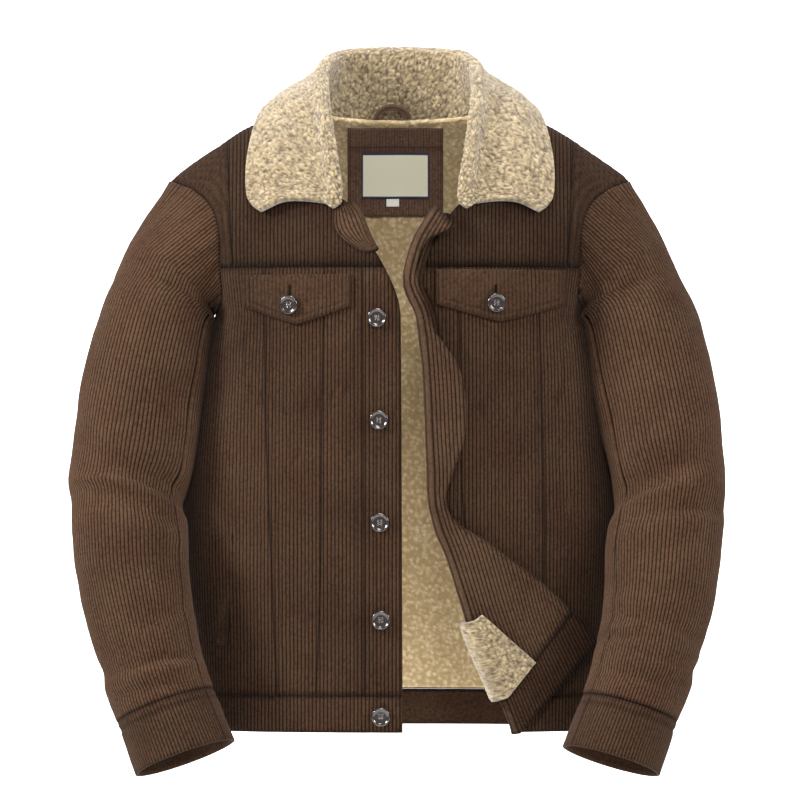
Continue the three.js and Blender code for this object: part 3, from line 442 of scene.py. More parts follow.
def stitch_rows(distance, rows):
    """Rows of stitches at distances from a seam or an edge."""
    return sum((line_mark(distance - row, 0.75) for row in rows), 0 * distance)


fullness = 5.5


def side_fullness(point):
    """The body's sides swell out a little below the sleeves' tops, where the sleeves rest on them."""
    below_arm = np.clip((underarm_height - point[..., 2]) / 12, 0, 1)
    above_hem = np.clip((point[..., 2] + 600) / 160, 0, 1)
    to_side = np.clip((np.abs(point[..., 0]) - 150) / 45, 0, 1)
    return fullness * (below_arm * above_hem) * to_side


flat_seam_rows = (2.5, 8)


def corduroy(name, point, normal, cloth, inset, depth=cord_depth, stitches=((), ()), folds=(),
             extra=0, rib=0.8, colour=None, slot="corduroy", inside_by=0, coarse=4, ends=(), lines=()):
    """Ribbed cloth: the ribs are in its surface, sunk at seams and along rows of stitches. cloth is
    the distance across the ribs and inset the distance from both side seams. inside_by is how far
    inside the shell its ribbed face is, for a facing."""
    ribs = rib_height(cloth)
    row_at = np.cumsum(np.append(0, np.linalg.norm(np.diff(point[:, point.shape[1] // 2], axis=0), axis=1)))
    to_end = np.minimum(row_at, row_at[-1] - row_at)[:, None] + 0 * cloth
    edge = np.minimum(inset[0], inset[1])
    sewn = stitch_rows(inset[0], stitches[0]) + stitch_rows(inset[1], stitches[1])
    sewn = sewn + stitch_lines(point, lines)
    if "top" in ends:
        sewn = sewn + stitch_rows(row_at[:, None] + 0 * cloth, flat_seam_rows)
    if "foot" in ends:
        sewn = sewn + stitch_rows(row_at[-1] - row_at[:, None] + 0 * cloth, flat_seam_rows)
    seam = line_mark(edge, 1.2) + line_mark(to_end, 1.6)
    sewn = np.clip(sewn, 0, 1)
    wavy = cell_noise(point, 34.0) * 0.9 + cell_noise(point, 13.0, 7.1) * 0.35
    pucker = cell_noise(point, 9.0, 3.3) * np.exp(-edge / 12) * 0.7
    lift = rib * (ribs - 0.5) * (1 - 0.5 * sewn) - 0.55 * sewn - 0.7 * np.clip(seam, 0, 1)
    lift = lift + (wavy + pucker + creases(point, folds) + extra) * np.clip(edge / 4, 0, 1)
    rest = (wavy + creases(point, folds) + extra) * np.clip(edge / 4, 0, 1)
    outwards = -normal if inside_by else normal
    near = point + outwards * (inside_by + lift)[..., None]
    away = point + outwards * (inside_by + np.minimum(rest, lift) - depth)[..., None]
    marks = {"rib": ribs, "sewn": sewn, "seam": np.clip(seam, 0, 1)}
    wall(name, near, away, marks, colour or cord_brown, coarse=coarse)


def cord_colour(groove, crown, worn_crown):
    def colour(tree, place):
        patchy = speckle(tree, place, 26.0, 4.0)
        worn = speckle(tree, place, 330.0, 4.0, Roughness=0.7)
        broad = speckle(tree, place, 9.0, 3.0)
        top = blend(crown, worn_crown, (patchy * 3.0 - 1.1).clipped())
        # Painted shade on top of the grooves' own darker tone: the colour darkens from the ribs' crowns into
        # their grooves
        shade = mark(tree, "rib") * (worn * 2.2 - 0.25) * (0.55 + broad * 0.9)
        body = blend(groove, top, shade.clipped())
        sunk = mark(tree, "sewn") * 0.35 + mark(tree, "seam") * 0.6
        return blend(body, groove, sunk.clipped())
    return colour


def cord_finish(name, groove, crown, worn_crown, bump_depth=0.0004, sheen=0.02, shine=0.06):
    """Brown corduroy, dull, with a little sheen on its nap: a colour for the grooves between the ribs, the
    ground's own darker tone deepened with painted shade, one for their crowns, and one for the crowns where
    they are worn."""
    return finish(name, cord_colour(groove, crown, worn_crown),
                  lambda tree, place: speckle(tree, place, 900.0, 3.0), bump_depth, Roughness=0.95,
                  Sheen_Weight=sheen, Sheen_Roughness=0.5, Specular_IOR_Level=shine)


# Lit and shaded copies of the same cloth: darker on the yokes with painted shade from the collar, lighter on
# the sleeves with painted light
cord_brown = cord_finish("cord_brown", (0.0016, 0.0007, 0.0003), (0.044, 0.0238, 0.0130),
                         (0.039, 0.0184, 0.0103))
yoke_painted_shade = cord_finish("yoke_painted_shade", (0.0012, 0.0005, 0.0002), (0.031, 0.0165, 0.0088),
                         (0.027, 0.0128, 0.0070))
sleeve_painted_light = cord_finish("sleeve_painted_light", (0.0016, 0.0007, 0.0003), (0.060, 0.0325, 0.0176),
                           (0.052, 0.0245, 0.0136))
facing_brown = cord_finish("facing_brown", (0.0022, 0.0010, 0.0005), (0.061, 0.0345, 0.0190),
                           (0.053, 0.027, 0.0158))

neckline = np.array([(0, 88, 15), (0.2, 87, -12), (0.4, 81, -49), (0.6, 72, -86)], float)
neck_end_row, neck_end = neckline[-1, 0], neckline[-1, 2]
right_edge = np.array([
    (-86, 72), (-93, 57), (-106, 45), (-132, 34), (-147, 25), (-163, 16), (-187, 5), (-205, 0),
    (-228, -1), (-400, -2), (-660, -3)], float)
right_facing_edge = np.array([(-86, 80), (-106, 78), (-163, 76), (-205, 66), (-228, 62), (-660, 60)], float)
left_fold = np.array([
    (-86, 54, 68, -98), (-100, 37, 61, -119), (-119, 24, 46, -129), (-138, 13, 28, -138),
    (-163, 5, 18, -163), (-182, 3, 19, -182), (-207, 14, 27, -207), (-231, 19, 36, -230),
    (-262, 22, 56, -258), (-293, 24, 66, -290), (-340, 26, 67, -340), (-376, 28, 57, -372),
    (-410, 29, 47, -408), (-437, 36, 60, -431), (-463, 46, 86, -447), (-500, 58, 112, -467),
    (-538, 70, 138, -487), (-578, 86, 156, -504), (-612, 100, 175, -523), (-650, 114, 202, -555)], float)
roll_radius = 4.0
roll_length = math.pi * roll_radius
placket_on_body = 12.0
facing_end = 5.0
facing_width = 65.0


def fold_across(height):
    return along(left_fold, height, 1) + roll_radius + facing_end


def turned_width(height):
    return np.hypot(along(left_fold, height, 2) - fold_across(height), along(left_fold, height, 3) - height)


def strip_end(height):
    return roll_length + turned_width(height)


def right_shell(height):
    return along(right_edge, height, 1)


def left_shell(height):
    return fold_across(height) + placket_on_body


def right_lining(height):
    return along(right_facing_edge, height, 1) + 4


def left_lining(height):
    return fold_across(height) + 4 + np.maximum(facing_width - strip_end(height), 30)


yoke_down = float(along(front_armhole, yoke_seam, 0, key=2))


def front_side(height):
    """Where a front ends: at the armhole above the underarm, at the side seam below it."""
    return along(front_armhole, height, 1, key=2) if height > underarm_height else half_width(height)


def yoke_row(row, edge_at):
    """Both ends of a row between the shoulder seam, 0, and the yoke seam, 1: their distances from the
    middle, their heights, and how far down between the two seams they are."""
    side, side_height = along(front_armhole, row * yoke_down, 1), along(front_armhole, row * yoke_down, 2)
    edge, edge_height = along(neckline, row, 1), along(neckline, row, 2)
    if row > neck_end_row:
        edge_height = mix(neck_end, yoke_seam, (row - neck_end_row) / (1 - neck_end_row))
        edge = edge_at(edge_height)
    drops = [(shoulder_at(across) - height) / (shoulder_at(across) - yoke_seam)
             for across, height in ((side, side_height), (edge, edge_height))]
    return side, edge, side_height, edge_height, drops


def yoke_grid(edge_at, near, far, rows, step=1.0):
    """Rows of a front from the shoulder seam down to the yoke seam; near and far are 'edge', 'side'
    or the panel seam."""
    lines = []
    for row in rows:
        side, edge, _, _, drops = yoke_row(row, edge_at)
        places = {"edge": edge, "side": side, "seam": mix(183, 176, drops[0])}
        lines.append((places[near] + seam_gap, places[far] - seam_gap, side, edge, *drops))
    low, high = min(line[0] for line in lines), max(line[1] for line in lines)
    columns = np.arange(math.floor(low), math.ceil(high) + step, step)
    across = np.stack([np.clip(columns, line[0], line[1]) for line in lines])
    height = np.empty_like(across)
    for number, (_, _, side, edge, side_drop, edge_drop) in enumerate(lines):
        drop = mix(side_drop, edge_drop, (side - across[number]) / (side - edge))
        shoulder = shoulder_at(across[number])
        height[number] = shoulder - drop * (shoulder - yoke_seam)
    inset = np.stack([across - np.array([[line[0]] for line in lines]),
                      np.array([[line[1]] for line in lines]) - across])
    point, normal = body_spot(across, height)
    return point, normal, across, inset


def strip_spot(distance, height):
    """The left front's edge by the distance along the cloth past its fold: flat on the body, round
    the roll, and turned back over the front."""
    distance, height = np.broadcast_arrays(distance, height)
    fold = fold_across(height)
    flat_point, flat_normal = body_spot(fold - np.minimum(distance, 0), height)
    root, out = body_spot(fold, height)
    below, above = height - 5, height + 5
    down = body_spot(fold_across(below), below)[0] - body_spot(fold_across(above), above)[0]
    opening = unit(np.cross(down, out))
    opening = np.where(opening[..., :1] > 0, -opening, opening)
    angle = (np.clip(distance, 0, roll_length) / roll_radius)[..., None]
    round_point = root + out * roll_radius * (1 - np.cos(angle)) + opening * roll_radius * np.sin(angle)
    round_normal = out * np.cos(angle) - opening * np.sin(angle)
    part = np.maximum(distance - roll_length, 0) / turned_width(height)
    turned_point, turned_normal = body_spot(mix(fold, along(left_fold, height, 2), part),
                                            mix(height, along(left_fold, height, 3), part))
    turned_point = turned_point + turned_normal * 2 * roll_radius
    flat, turned = (distance <= 0)[..., None], (distance > roll_length)[..., None]
    point = np.where(flat, flat_point, np.where(turned, turned_point, round_point))
    normal = np.where(flat, flat_normal, np.where(turned, -turned_normal, round_normal))
    return point, normal


def strip_grid(heights, start, end, step=1.0):
    """Points of the left front's edge between two distances past its fold, each given by height."""
    low = min(start(height) for height in heights)
    high = max(end(height) for height in heights)
    columns = np.arange(math.floor(low), math.ceil(high) + step, step)
    first = np.array([[start(height) + seam_gap] for height in heights])
    last = np.array([[end(height) - seam_gap] for height in heights])
    distance = np.clip(columns[None, :], first, last)
    level = np.broadcast_to(np.asarray(heights, float)[:, None], distance.shape)
    point, normal = strip_spot(distance, level)
    return point, normal, distance, np.stack([distance - first, last - distance])


side_seams = {
    "right": np.array([(-163, 143), (-345, 140), (-487, 134), (-612, 129)], float),
    "left": np.array([(-163, 144), (-345, 150), (-487, 151), (-612, 147)], float)}
inner_seams = {
    "right": np.array([(-163, 79), (-345, 82), (-487, 83), (-612, 88)], float),
    "left": np.array([(-163, 61), (-420, 66), (-463, 75), (-500, 87), (-538, 99), (-578, 115),
                      (-612, 129)], float)}
placket_seam = np.array([(-163, 39), (-400, 38), (-612, 37)], float)


def seam_line(table):
    return lambda height: float(along(table, height, 1))


# Long soft folds of the fronts, as x, z to x, z in the front view, width and depth
right_folds = [
    (-205, -150, -188, -230, 9, 2.0), (-150, -330, -176, -470, 12, 1.6), (-96, -380, -104, -560, 10, 1.4),
    (-60, -250, -66, -420, 9, -1.2), (-118, -420, -126, -600, 9, -1.3), (-178, -255, -196, -330, 10, 1.8),
    (-30, -240, -34, -600, 7, 1.0), (-160, -560, -60, -585, 12, 1.2), (-146, -196, -150, -240, 7, 1.2)]
left_folds = [
    (205, -150, 186, -230, 9, 2.0), (160, -300, 178, -430, 12, 1.8), (110, -330, 118, -470, 10, 1.4),
    (60, -250, 72, -400, 9, 1.2), (176, -500, 150, -600, 11, 1.8), (190, -470, 176, -590, 9, -1.4),
    (140, -520, 128, -600, 9, -1.2), (20, -180, 40, -260, 7, 1.0)]
# The chest pockets lie behind the fronts and show as rows of stitches, doubled along their pointed foot
pocket_lines = {
    "right": [(-163, -228, -163, -290), (-49, -228, -49, -290), (-163, -290, -112, -320),
              (-112, -320, -49, -290), (-163, -284, -112, -314), (-112, -314, -49, -284)],
    "left": [(172, -228, 172, -299), (172, -299, 104, -320), (104, -320, 77, -312),
             (172, -293, 104, -314), (104, -314, 74, -305)]}
body_rows = np.linspace(yoke_seam - seam_gap, hem_seam + seam_gap, 66)
yoke_rows = np.linspace(0.001, 1, 30) ** 1.4
for side, sign, edge_at, folds in (("right", -1, right_shell, right_folds),
                                   ("left", 1, left_shell, left_folds)):
    side_line, inner_line = seam_line(side_seams[side]), seam_line(inner_seams[side])
    inner_end = seam_line(placket_seam) if side == "right" else edge_at
    panels = [
        ("side_panel", front_side, side_line, ((), ())),
        ("middle_panel", side_line, inner_line, ((), (2.5, 8))),
        ("inner_panel", inner_line, inner_end, ((2.5, 8), ()))]
    if side == "right":
        panels.append(("placket", inner_end, edge_at, ((2.5,), (12.5,))))
    for name, far, near, stitches in panels:
        point, normal, cloth, inset = level_grid(body_rows, near, far)
        point, normal = mirror(sign, point, normal)
        point = point + normal * side_fullness(point)[..., None]
        corduroy(f"{side}_{name}", point, normal, cloth, inset, folds=folds, stitches=stitches, ends=["foot"],
                 lines=pocket_lines[side])
    for name, near, far, stitches in (("front_yoke", "edge", "seam", ((3,), ())),
                                      ("armhole_panel", "seam", "side", ((2.5, 8), (3,)))):
        point, normal, cloth, inset = yoke_grid(edge_at, near, far, yoke_rows)
        if name == "armhole_panel":
            cloth = cloth * 0.75 + point[..., 2] * 0.62
        point, normal = mirror(sign, point, normal)
        # The yoke and armhole panels take the darker copy of the corduroy, with painted shade
        corduroy(f"{side}_{name}", point, normal, cloth, inset, folds=folds, stitches=stitches, ends=["foot"],
                 colour=yoke_painted_shade)

hem_rows = np.linspace(hem_seam - seam_gap, hem, 9)
point, normal, cloth, inset = level_grid(hem_rows, right_shell, half_width)
point, normal = mirror(-1, point, normal)
corduroy("right_hem_band", point, normal, cloth, inset, depth=hem_depth, ends=["top", "foot"],
         stitches=((3,), ()))
flat_part = level_grid(hem_rows, left_shell, half_width)
strip_part = strip_grid(hem_rows, lambda h: -placket_on_body - 0.6, strip_end)
body_point_part, body_normal_part = flat_part[0][:, ::-1], flat_part[1][:, ::-1]
joined = [np.concatenate(pair, 1) for pair in (
    (body_point_part, strip_part[0]), (body_normal_part, strip_part[1]),
    (-flat_part[2][:, ::-1], strip_part[2]))]
width_past = np.concatenate([flat_part[3][1][:, ::-1], 200 + strip_part[3][0]], 1)
width_left = np.concatenate([200 + flat_part[3][0][:, ::-1], strip_part[3][1]], 1)
corduroy("left_hem_band", *joined, np.stack([width_past, width_left]), depth=hem_depth,
         stitches=((), (3,)), ends=["top", "foot"], coarse=1)

strip_rows = np.linspace(-106, hem_seam + seam_gap, 74)
corduroy("left_placket", *strip_grid(strip_rows, lambda h: -placket_on_body + 1.8, strip_end), coarse=1)

# Each front's facing is a 65 mm strip of the same corduroy inside the edge. On the left it is what
# shows where the front is turned back, with its ribs along the fold and a row of stitches by the edge.
facing_creases = [(66, -440, 120, -520, 9, -2.2), (52, -452, 96, -560, 8, 2.2), (34, -250, 40, -330, 8, 1.2),
                  (44, -380, 60, -440, 8, 1.4), (100, -480, 150, -560, 8, 1.8), (24, -160, 30, -220, 6, 1.2)]
corduroy("left_facing", *strip_grid(strip_rows, lambda h: min(strip_end(h) - facing_width, -placket_on_body),
                                    strip_end),
         folds=facing_creases, stitches=((), (3, 10)), colour=facing_brown, slot="facing",
         inside_by=facing_end)
point, normal, cloth, inset = level_grid(
    np.linspace(-90, hem_seam, 60), right_shell, lambda h: float(along(right_facing_edge, h, 1)), step=2.0)
point, normal = mirror(-1, point, normal)
corduroy("right_facing", point, normal, cloth, inset, colour=facing_brown, slot="facing",
         inside_by=facing_end)

# The top of the right front's facing, turned round the edge to lie on the front below the collar.
lapel_turn = np.array([(-96, 68, -101), (-108, 69, -116), (-120, 66, -127), (-133, 54, -138),
                       (-146, 36, -148)], float)
turn_part, turn_level = np.meshgrid(np.linspace(0, 7, 64), np.linspace(-96.2, -145.8, 26))
edge_place = right_shell(turn_level)
part = np.clip((turn_part - 4) / 3, 0, 1)
flat_point, flat_normal = body_spot(mix(edge_place, along(lapel_turn, turn_level, 1), part),
                                    mix(turn_level, along(lapel_turn, turn_level, 2), part))
root, out = body_spot(edge_place, turn_level)
down = (body_spot(right_shell(turn_level - 2), turn_level - 2)[0]
        - body_spot(right_shell(turn_level + 2), turn_level + 2)[0])
outwards = unit(np.cross(down, out))
outwards = np.where(outwards[..., :1] > 0, -outwards, outwards)
angle = (np.clip(turn_part, 0, 4) / 4 * math.pi)[..., None]
facing_way = -out * np.cos(angle) + outwards * np.sin(angle)
round_point = root - out * facing_end / 2 + outwards * 0.3 + facing_way * (facing_end / 2 + 0.3)
is_flat = (turn_part > 4)[..., None]
point, normal = mirror(-1, np.where(is_flat, flat_point + flat_normal * 0.3, round_point),
                       np.where(is_flat, flat_normal, facing_way))
away = np.stack([turn_part * 6, (7 - turn_part) * 8])
corduroy("right_lapel_turn", point + normal * 1.5, normal, turn_part * 9, away, depth=1.5,
         stitches=((), (3,)), colour=facing_brown, slot="facing", rib=0.5)

# The back: a yoke from the shoulder seams, one panel below it and a doubled hem band.
back_neckline = np.array([(0, 0), (45, 3), (75, 8), (88, 15)], float)


def back_side(height):
    return along(back_armhole, height, 1, key=2) if height > underarm_height else half_width(height)


def back_yoke_grid(rows, step=1.0):
    full_down = float(along(back_armhole, back_yoke_seam, 0, key=2))
    sides = [(float(along(back_armhole, row * full_down, 1)), float(along(back_armhole, row * full_down, 2)))
             for row in rows]
    reach = math.ceil(max(side for side, _ in sides))
    columns = np.arange(-reach, reach + step, step)
    across = np.stack([np.clip(columns, -side + seam_gap, side - seam_gap) for side, _ in sides])
    height = np.empty_like(across)
    for number, (row, (side, side_height)) in enumerate(zip(rows, sides)):
        far = np.abs(across[number])
        past = 0.5 + 0.5 * (far - 88) / (side - 88)
        share = np.where(far < 88, np.arcsin(np.minimum(far / 88, 1)) / math.pi, past)
        top = np.where(far > 88, shoulder_at(far), along(back_neckline, far, 1))
        side_top = shoulder_at(side)
        drop = mix(row, (side_top - side_height) / (side_top - back_yoke_seam), share ** 4)
        height[number] = mix(top, back_yoke_seam, drop)
    point, normal = body_spot(across, height, True)
    ends = np.array([[side] for side, _ in sides])
    return point, normal, across, np.stack([across + ends, ends - across])


back_yoke_rows = np.linspace(0.001, 1, 28) ** 1.4
# The back yoke takes the darker copy of the corduroy, with painted shade
corduroy("back_yoke", *back_yoke_grid(back_yoke_rows), ends=["foot"], colour=yoke_painted_shade)
point, normal, cloth, inset = level_grid(
    np.linspace(back_yoke_seam, hem_seam, 66), lambda h: -back_side(h), back_side, True)
point = point + normal * side_fullness(point)[..., None]
back_folds = [(-120, -170, -90, -560, 14, 1.6), (110, -180, 60, -540, 14, 1.6),
              (-20, -200, -40, -600, 12, -1.4), (180, -230, 120, -330, 12, 2),
              (-180, -230, -120, -330, 12, 2)]
corduroy("back_panel", point, normal, cloth, inset, folds=back_folds, ends=["top", "foot"])
corduroy("back_hem_band", *level_grid(hem_rows, lambda h: -half_width(h), half_width, True),
         depth=hem_depth, ends=["top", "foot"])


# Sleeves: two pieces each, a wide one outside and a narrow one under the arm, joined by seams along
# the arm and set into the armhole. They fold at the elbow. The ribs run along the arm.
# Each ring gives across, y, height, its lean, and its half widths across and from front to back.
sleeve_rings = {
    "right": np.array([
        (244, -4, -174, 42, 57, 64), (252, -10, -200, 26, 57, 63), (261, -22, -225, 14, 58, 62),
        (273, -36, -281, 9, 61, 60), (281, -47, -338, 5, 62, 59), (287, -57, -386, 0, 61, 58),
        (287, -66, -412, 0, 58, 57), (284, -75, -440, -4, 60, 57), (280, -88, -488, -9, 59, 56),
        (270, -101, -534, -14, 56, 55), (262, -110, -568, -18, 54, 53), (255, -115, -594, -20, 54, 52),
        (245, -120, -621, -20, 53, 50)], float),
    "left": np.array([
        (238, -4, -174, 42, 57, 64), (246, -10, -200, 26, 57, 63), (257, -22, -225, 14, 59, 62),
        (269, -36, -281, 9, 61, 60), (279, -49, -338, 5, 60, 59), (285, -60, -386, 0, 57, 58),
        (283, -69, -417, 0, 58, 57), (278, -80, -450, -4, 60, 57), (272, -94, -506, -8, 58, 56),
        (265, -104, -540, -12, 55, 55), (258, -112, -568, -15, 54, 53), (251, -118, -594, -17, 53, 52),
        (240, -124, -624, -17, 51, 50)], float)}
# Each fold gives its ring, its turn from the outer side towards the front in degrees, how far it
# spreads along and round the arm, its slant and its depth; a depth below zero is a ridge.
main_folds = [(5.2, 110, 0.42, 75, 0.9, 6), (4.4, 100, 0.5, 60, 0.8, -4), (6.3, 90, 0.4, 60, 0.6, 4),
              (9.2, 120, 0.35, 50, -0.4, 4), (5.6, 250, 0.5, 45, -0.6, 5), (10.2, 20, 0.35, 60, 0.3, 3)]
fine_folds = {
    "right": [(5.9, 130, 0.22, 50, 1.0, 3.5), (5.5, 60, 0.25, 40, 0.9, -2.2), (6.8, 110, 0.25, 45, 0.6, 2.2),
              (7.4, 140, 0.25, 30, 0.5, -2), (10.6, 100, 0.2, 55, 0.25, 2.6), (11.4, 70, 0.18, 45, 0.35, 2.4),
              (11.0, 110, 0.2, 50, 0.3, -1.8), (8.1, 30, 0.3, 40, 0.5, 1.6), (2.5, 100, 0.5, 30, 1.2, 1.6),
              (3.4, 140, 0.4, 30, 0.9, 1.8), (1.2, 95, 0.4, 24, 1.4, 1.8), (9.9, 60, 0.25, 40, 0.5, 1.8)],
    "left": [(6.4, 60, 0.2, 45, 0.5, 3.2), (5.8, 130, 0.24, 45, 0.9, 3.2), (7.0, 100, 0.25, 45, 0.5, -2),
             (9.9, 130, 0.2, 45, 0.25, 2.6), (9.3, 40, 0.2, 40, -0.3, 2.2), (11.2, 100, 0.2, 55, 0.2, 2.2),
             (10.6, 70, 0.2, 45, 0.2, -1.8), (3.3, 120, 0.45, 35, 1.0, 1.8), (1.4, 95, 0.4, 24, 1.4, 1.6),
             (8.2, 150, 0.3, 30, 0.4, 1.8), (4.7, 60, 0.3, 40, 0.7, 1.6)]}


def fold_depth(ring, turn, table):
    total = np.zeros(np.broadcast(ring, turn).shape)
    for at, round_at, spread, turn_spread, slant, depth in table:
        round_part = (turn - round_at + 540) % 360 - 180
        ring_part = (ring - at - slant * round_part / 90) / spread
        total += depth * np.exp(-(ring_part ** 2) - (round_part / turn_spread) ** 2)
    return total


def ring_point(rings, ring, turn, grow=0):
    """A place on the sleeve by its ring and by the turn in radians from the arm's outer side."""
    table = np.column_stack([np.arange(len(rings)), rings])
    value = [along(table, ring, column) for column in range(1, 7)]
    tilt = np.radians(value[3])
    outwards = np.stack([np.cos(tilt), 0 * tilt, np.sin(tilt)], -1)
    following = np.minimum(ring + 0.5, len(rings) - 1)
    ends = [np.stack([along(table, place, column) for column in (1, 2, 3)], -1)
            for place in (following, following - 1)]
    front = unit(np.cross(unit(ends[0] - ends[1]), outwards))
    front = np.where(front[..., 1:2] > 0, -front, front)
    depth = fold_depth(ring, np.degrees(turn), main_folds)
    return (np.stack(value[:3], -1)
            + outwards * (np.cos(turn) * (value[4] + grow - depth))[..., None]
            + front * (np.sin(turn) * (value[5] + grow - depth))[..., None])


def armhole_point(turn):
    full = turn % (2 * math.pi)
    is_back = full > math.pi
    down = np.where(is_back, (2 * math.pi - full) / math.pi, full / math.pi)
    places = []
    for table, back in ((front_armhole, False), (back_armhole, True)):
        places.append(body_spot(along(table, down, 1), along(table, down, 2), back)[0])
    return np.where(is_back[..., None], places[1], places[0]) + np.array([1.2, 0, 0])


def grid_normals(point, outside):
    """Outward directions of a grid, worked out from its neighbouring points."""
    normal = unit(np.cross(np.gradient(point, axis=1), np.gradient(point, axis=0)))
    flip = np.sum(normal * outside, -1, keepdims=True) < 0
    return np.where(flip, -normal, normal)


def sleeve_grid(rings, first_turn, last_turn):
    turns = np.radians(np.arange(first_turn, last_turn + 1))
    places = np.concatenate([[-1.05], np.linspace(-1, 0, 10)[:-1], np.linspace(0, len(rings) - 1, 92)])
    turn, place = np.meshgrid(turns, places)
    full = turn % (2 * math.pi)
    point = ring_point(rings, np.maximum(place, 0), full)
    top = np.clip(-place, 0, 1)[..., None]
    point = mix(point, armhole_point(full), top)
    outside = ring_point(rings, np.maximum(place, 0), full, 5) - ring_point(rings, np.maximum(place, 0), full)
    normal = grid_normals(point, outside)
    tucked = np.clip(-place - 1, 0, 0.05)[..., None] * 20
    point = point - tucked * (np.array([3.0, 0, 0]) + 2.2 * unit(outside))
    return point, normal, turn, place


for side, sign in (("right", -1), ("left", 1)):
    rings = sleeve_rings[side]
    for name, first, last in (("top_sleeve", -105, 150), ("under_sleeve", 150, 255)):
        point, normal, turn, place = sleeve_grid(rings, first, last)
        point, normal = mirror(sign, point, normal)
        degrees = np.degrees(turn)
        cloth = degrees + 1
        away = np.stack([(degrees - first) * 1.02, (last - degrees) * 1.02])
        more = -1.6 * fold_depth(place, degrees, fine_folds[side]) * np.clip(place + 0.6, 0, 1)
        inwards = line_mark((degrees - 178 + 180) % 360 - 180, 50)
        more = more + 7.0 * inwards * line_mark(place - 3.5, 2.6) * np.clip(place + 0.3, 0, 1)
        more = more + 3.0 * inwards * line_mark(place - 0.8, 0.8)
        near_top = np.exp(-np.maximum(place + 1, 0) / 0.7)
        more = more + near_top * 1.0 * np.sin(degrees / 3.4 + cell_noise(point, 30.0) * 2)
        # The sleeves take the lighter copy of the corduroy, with painted light
        corduroy(f"{side}_{name}", point, normal, cloth, away, extra=more, colour=sleeve_painted_light,
                 stitches=((2.5,), ()) if name == "top_sleeve" else ((), ()))

    # Cuff: a doubled band sewn round the sleeve's end with two rows of stitches
    end = rings[-1]
    slope = {"right": 21, "left": 20}[side]
    lower = end + np.array([-slope, -10, -54, 0, 1.5, 1])
    turn, part = np.meshgrid(np.radians(np.arange(0, 360)), np.linspace(0.004, 1, 14))
    ring = end + (lower - end) * part[..., None]
    tilt = np.radians(ring[..., 3])
    outwards = np.stack([np.cos(tilt), 0 * tilt, np.sin(tilt)], -1)
    axis = np.broadcast_to(unit(np.array([-slope, -10.0, -54.0])), outwards.shape)
    front = unit(np.cross(axis, outwards))
    front = np.where(front[..., 1:2] > 0, -front, front)
    way = (outwards * np.cos(turn)[..., None] * ring[..., 4:5]
           + front * np.sin(turn)[..., None] * ring[..., 5:6])
    point, normal = mirror(sign, ring[..., :3] + way, unit(way))
    degrees = np.degrees(turn)
    level = part * 57
    sewn = np.clip(stitch_rows(level, (3, 9, 54)), 0, 1)
    seam = np.clip(line_mark(level, 1.5) + line_mark((degrees - 150), 1.5), 0, 1)
    ribs = rib_height(degrees + 1)
    wavy = cell_noise(point, 26.0) * 0.8 - 1.6 * line_mark(level - 8 - 5 * np.sin(degrees / 40), 4)
    lift = 0.8 * (ribs - 0.5) - 0.5 * sewn - 0.7 * seam + wavy * np.sin(np.pi * part)
    inner = np.minimum(lift, wavy * np.sin(np.pi * part)) - hem_depth
    wall(f"{side}_cuff", point + normal * lift[..., None], point + normal * inner[..., None],
         {"rib": ribs, "sewn": sewn, "seam": seam}, cord_brown, tube=True)


# Collar: curled pile cloth about 7 mm thick, standing up from the neck seam, folded over at its
# crown, with pointed ends in front. Each row gives a section from the neck seam to the outer edge.
collar_rows = np.array([
    (73, -85, 15.5, 0, 62, -106, -97, 148, -94, -102), (76, -73, 15.5, 0, 62, -101, -80, 160, -83, -92),
    (80, -53, 12, 0, 66, -89, -49, 163, -69, -62), (85, -24, 11, 0, 71, -69, -13, 158, -46, -25),
    (88, 6, 12, 0, 76, -34, 26, 147, -8, 6), (84, 11, 9, 1, 75, 6, 52, 127, 48, 6),
    (60, 5, 7, 1, 60, 38, 66, 86, 88, -2), (30, 2, 6, 1, 32, 51, 69, 44, 102, -8),
    (0, 0, 6, 1, 0, 55, 70, 0, 106, -10)], float)
pile_depth = 7.0
lining_start = 4.5
lining_end = 10.5


def flattened(vector, normal):
    return vector - normal * np.dot(vector, normal)


def collar_section(row, sign):
    seam_across, seam_height, lift, back, fold_x, fold_y, fold_z, edge_x, edge_y, edge_z = row
    point, normal = body_spot(seam_across, seam_height, back == 1)
    onwards = unit(flattened(np.array([0, -20, 20]) - point, normal))
    foot = min(lift - 9, 6) if back else lift
    seam = point - normal * (pile_depth + 0.3) + onwards * foot
    fold, edge = np.array([fold_x, fold_y, fold_z]), np.array([edge_x, edge_y, edge_z])
    outwards = unit((edge - fold) * np.array([1, 1, 0]))
    up = unit(flattened(fold - seam, outwards))
    outer_fold = fold + outwards * 20 - up * 4
    crown = fold + outwards * 10 + up * 5
    rise = unit(flattened(np.array([0, 0, 1.0]), unit(edge - outer_fold)) + outwards * 0.6)
    leaf = (outer_fold + edge) / 2 + rise * 9
    return np.array([seam, (seam + fold) / 2, fold, crown, outer_fold, leaf, edge]) * np.array([sign, 1, 1])


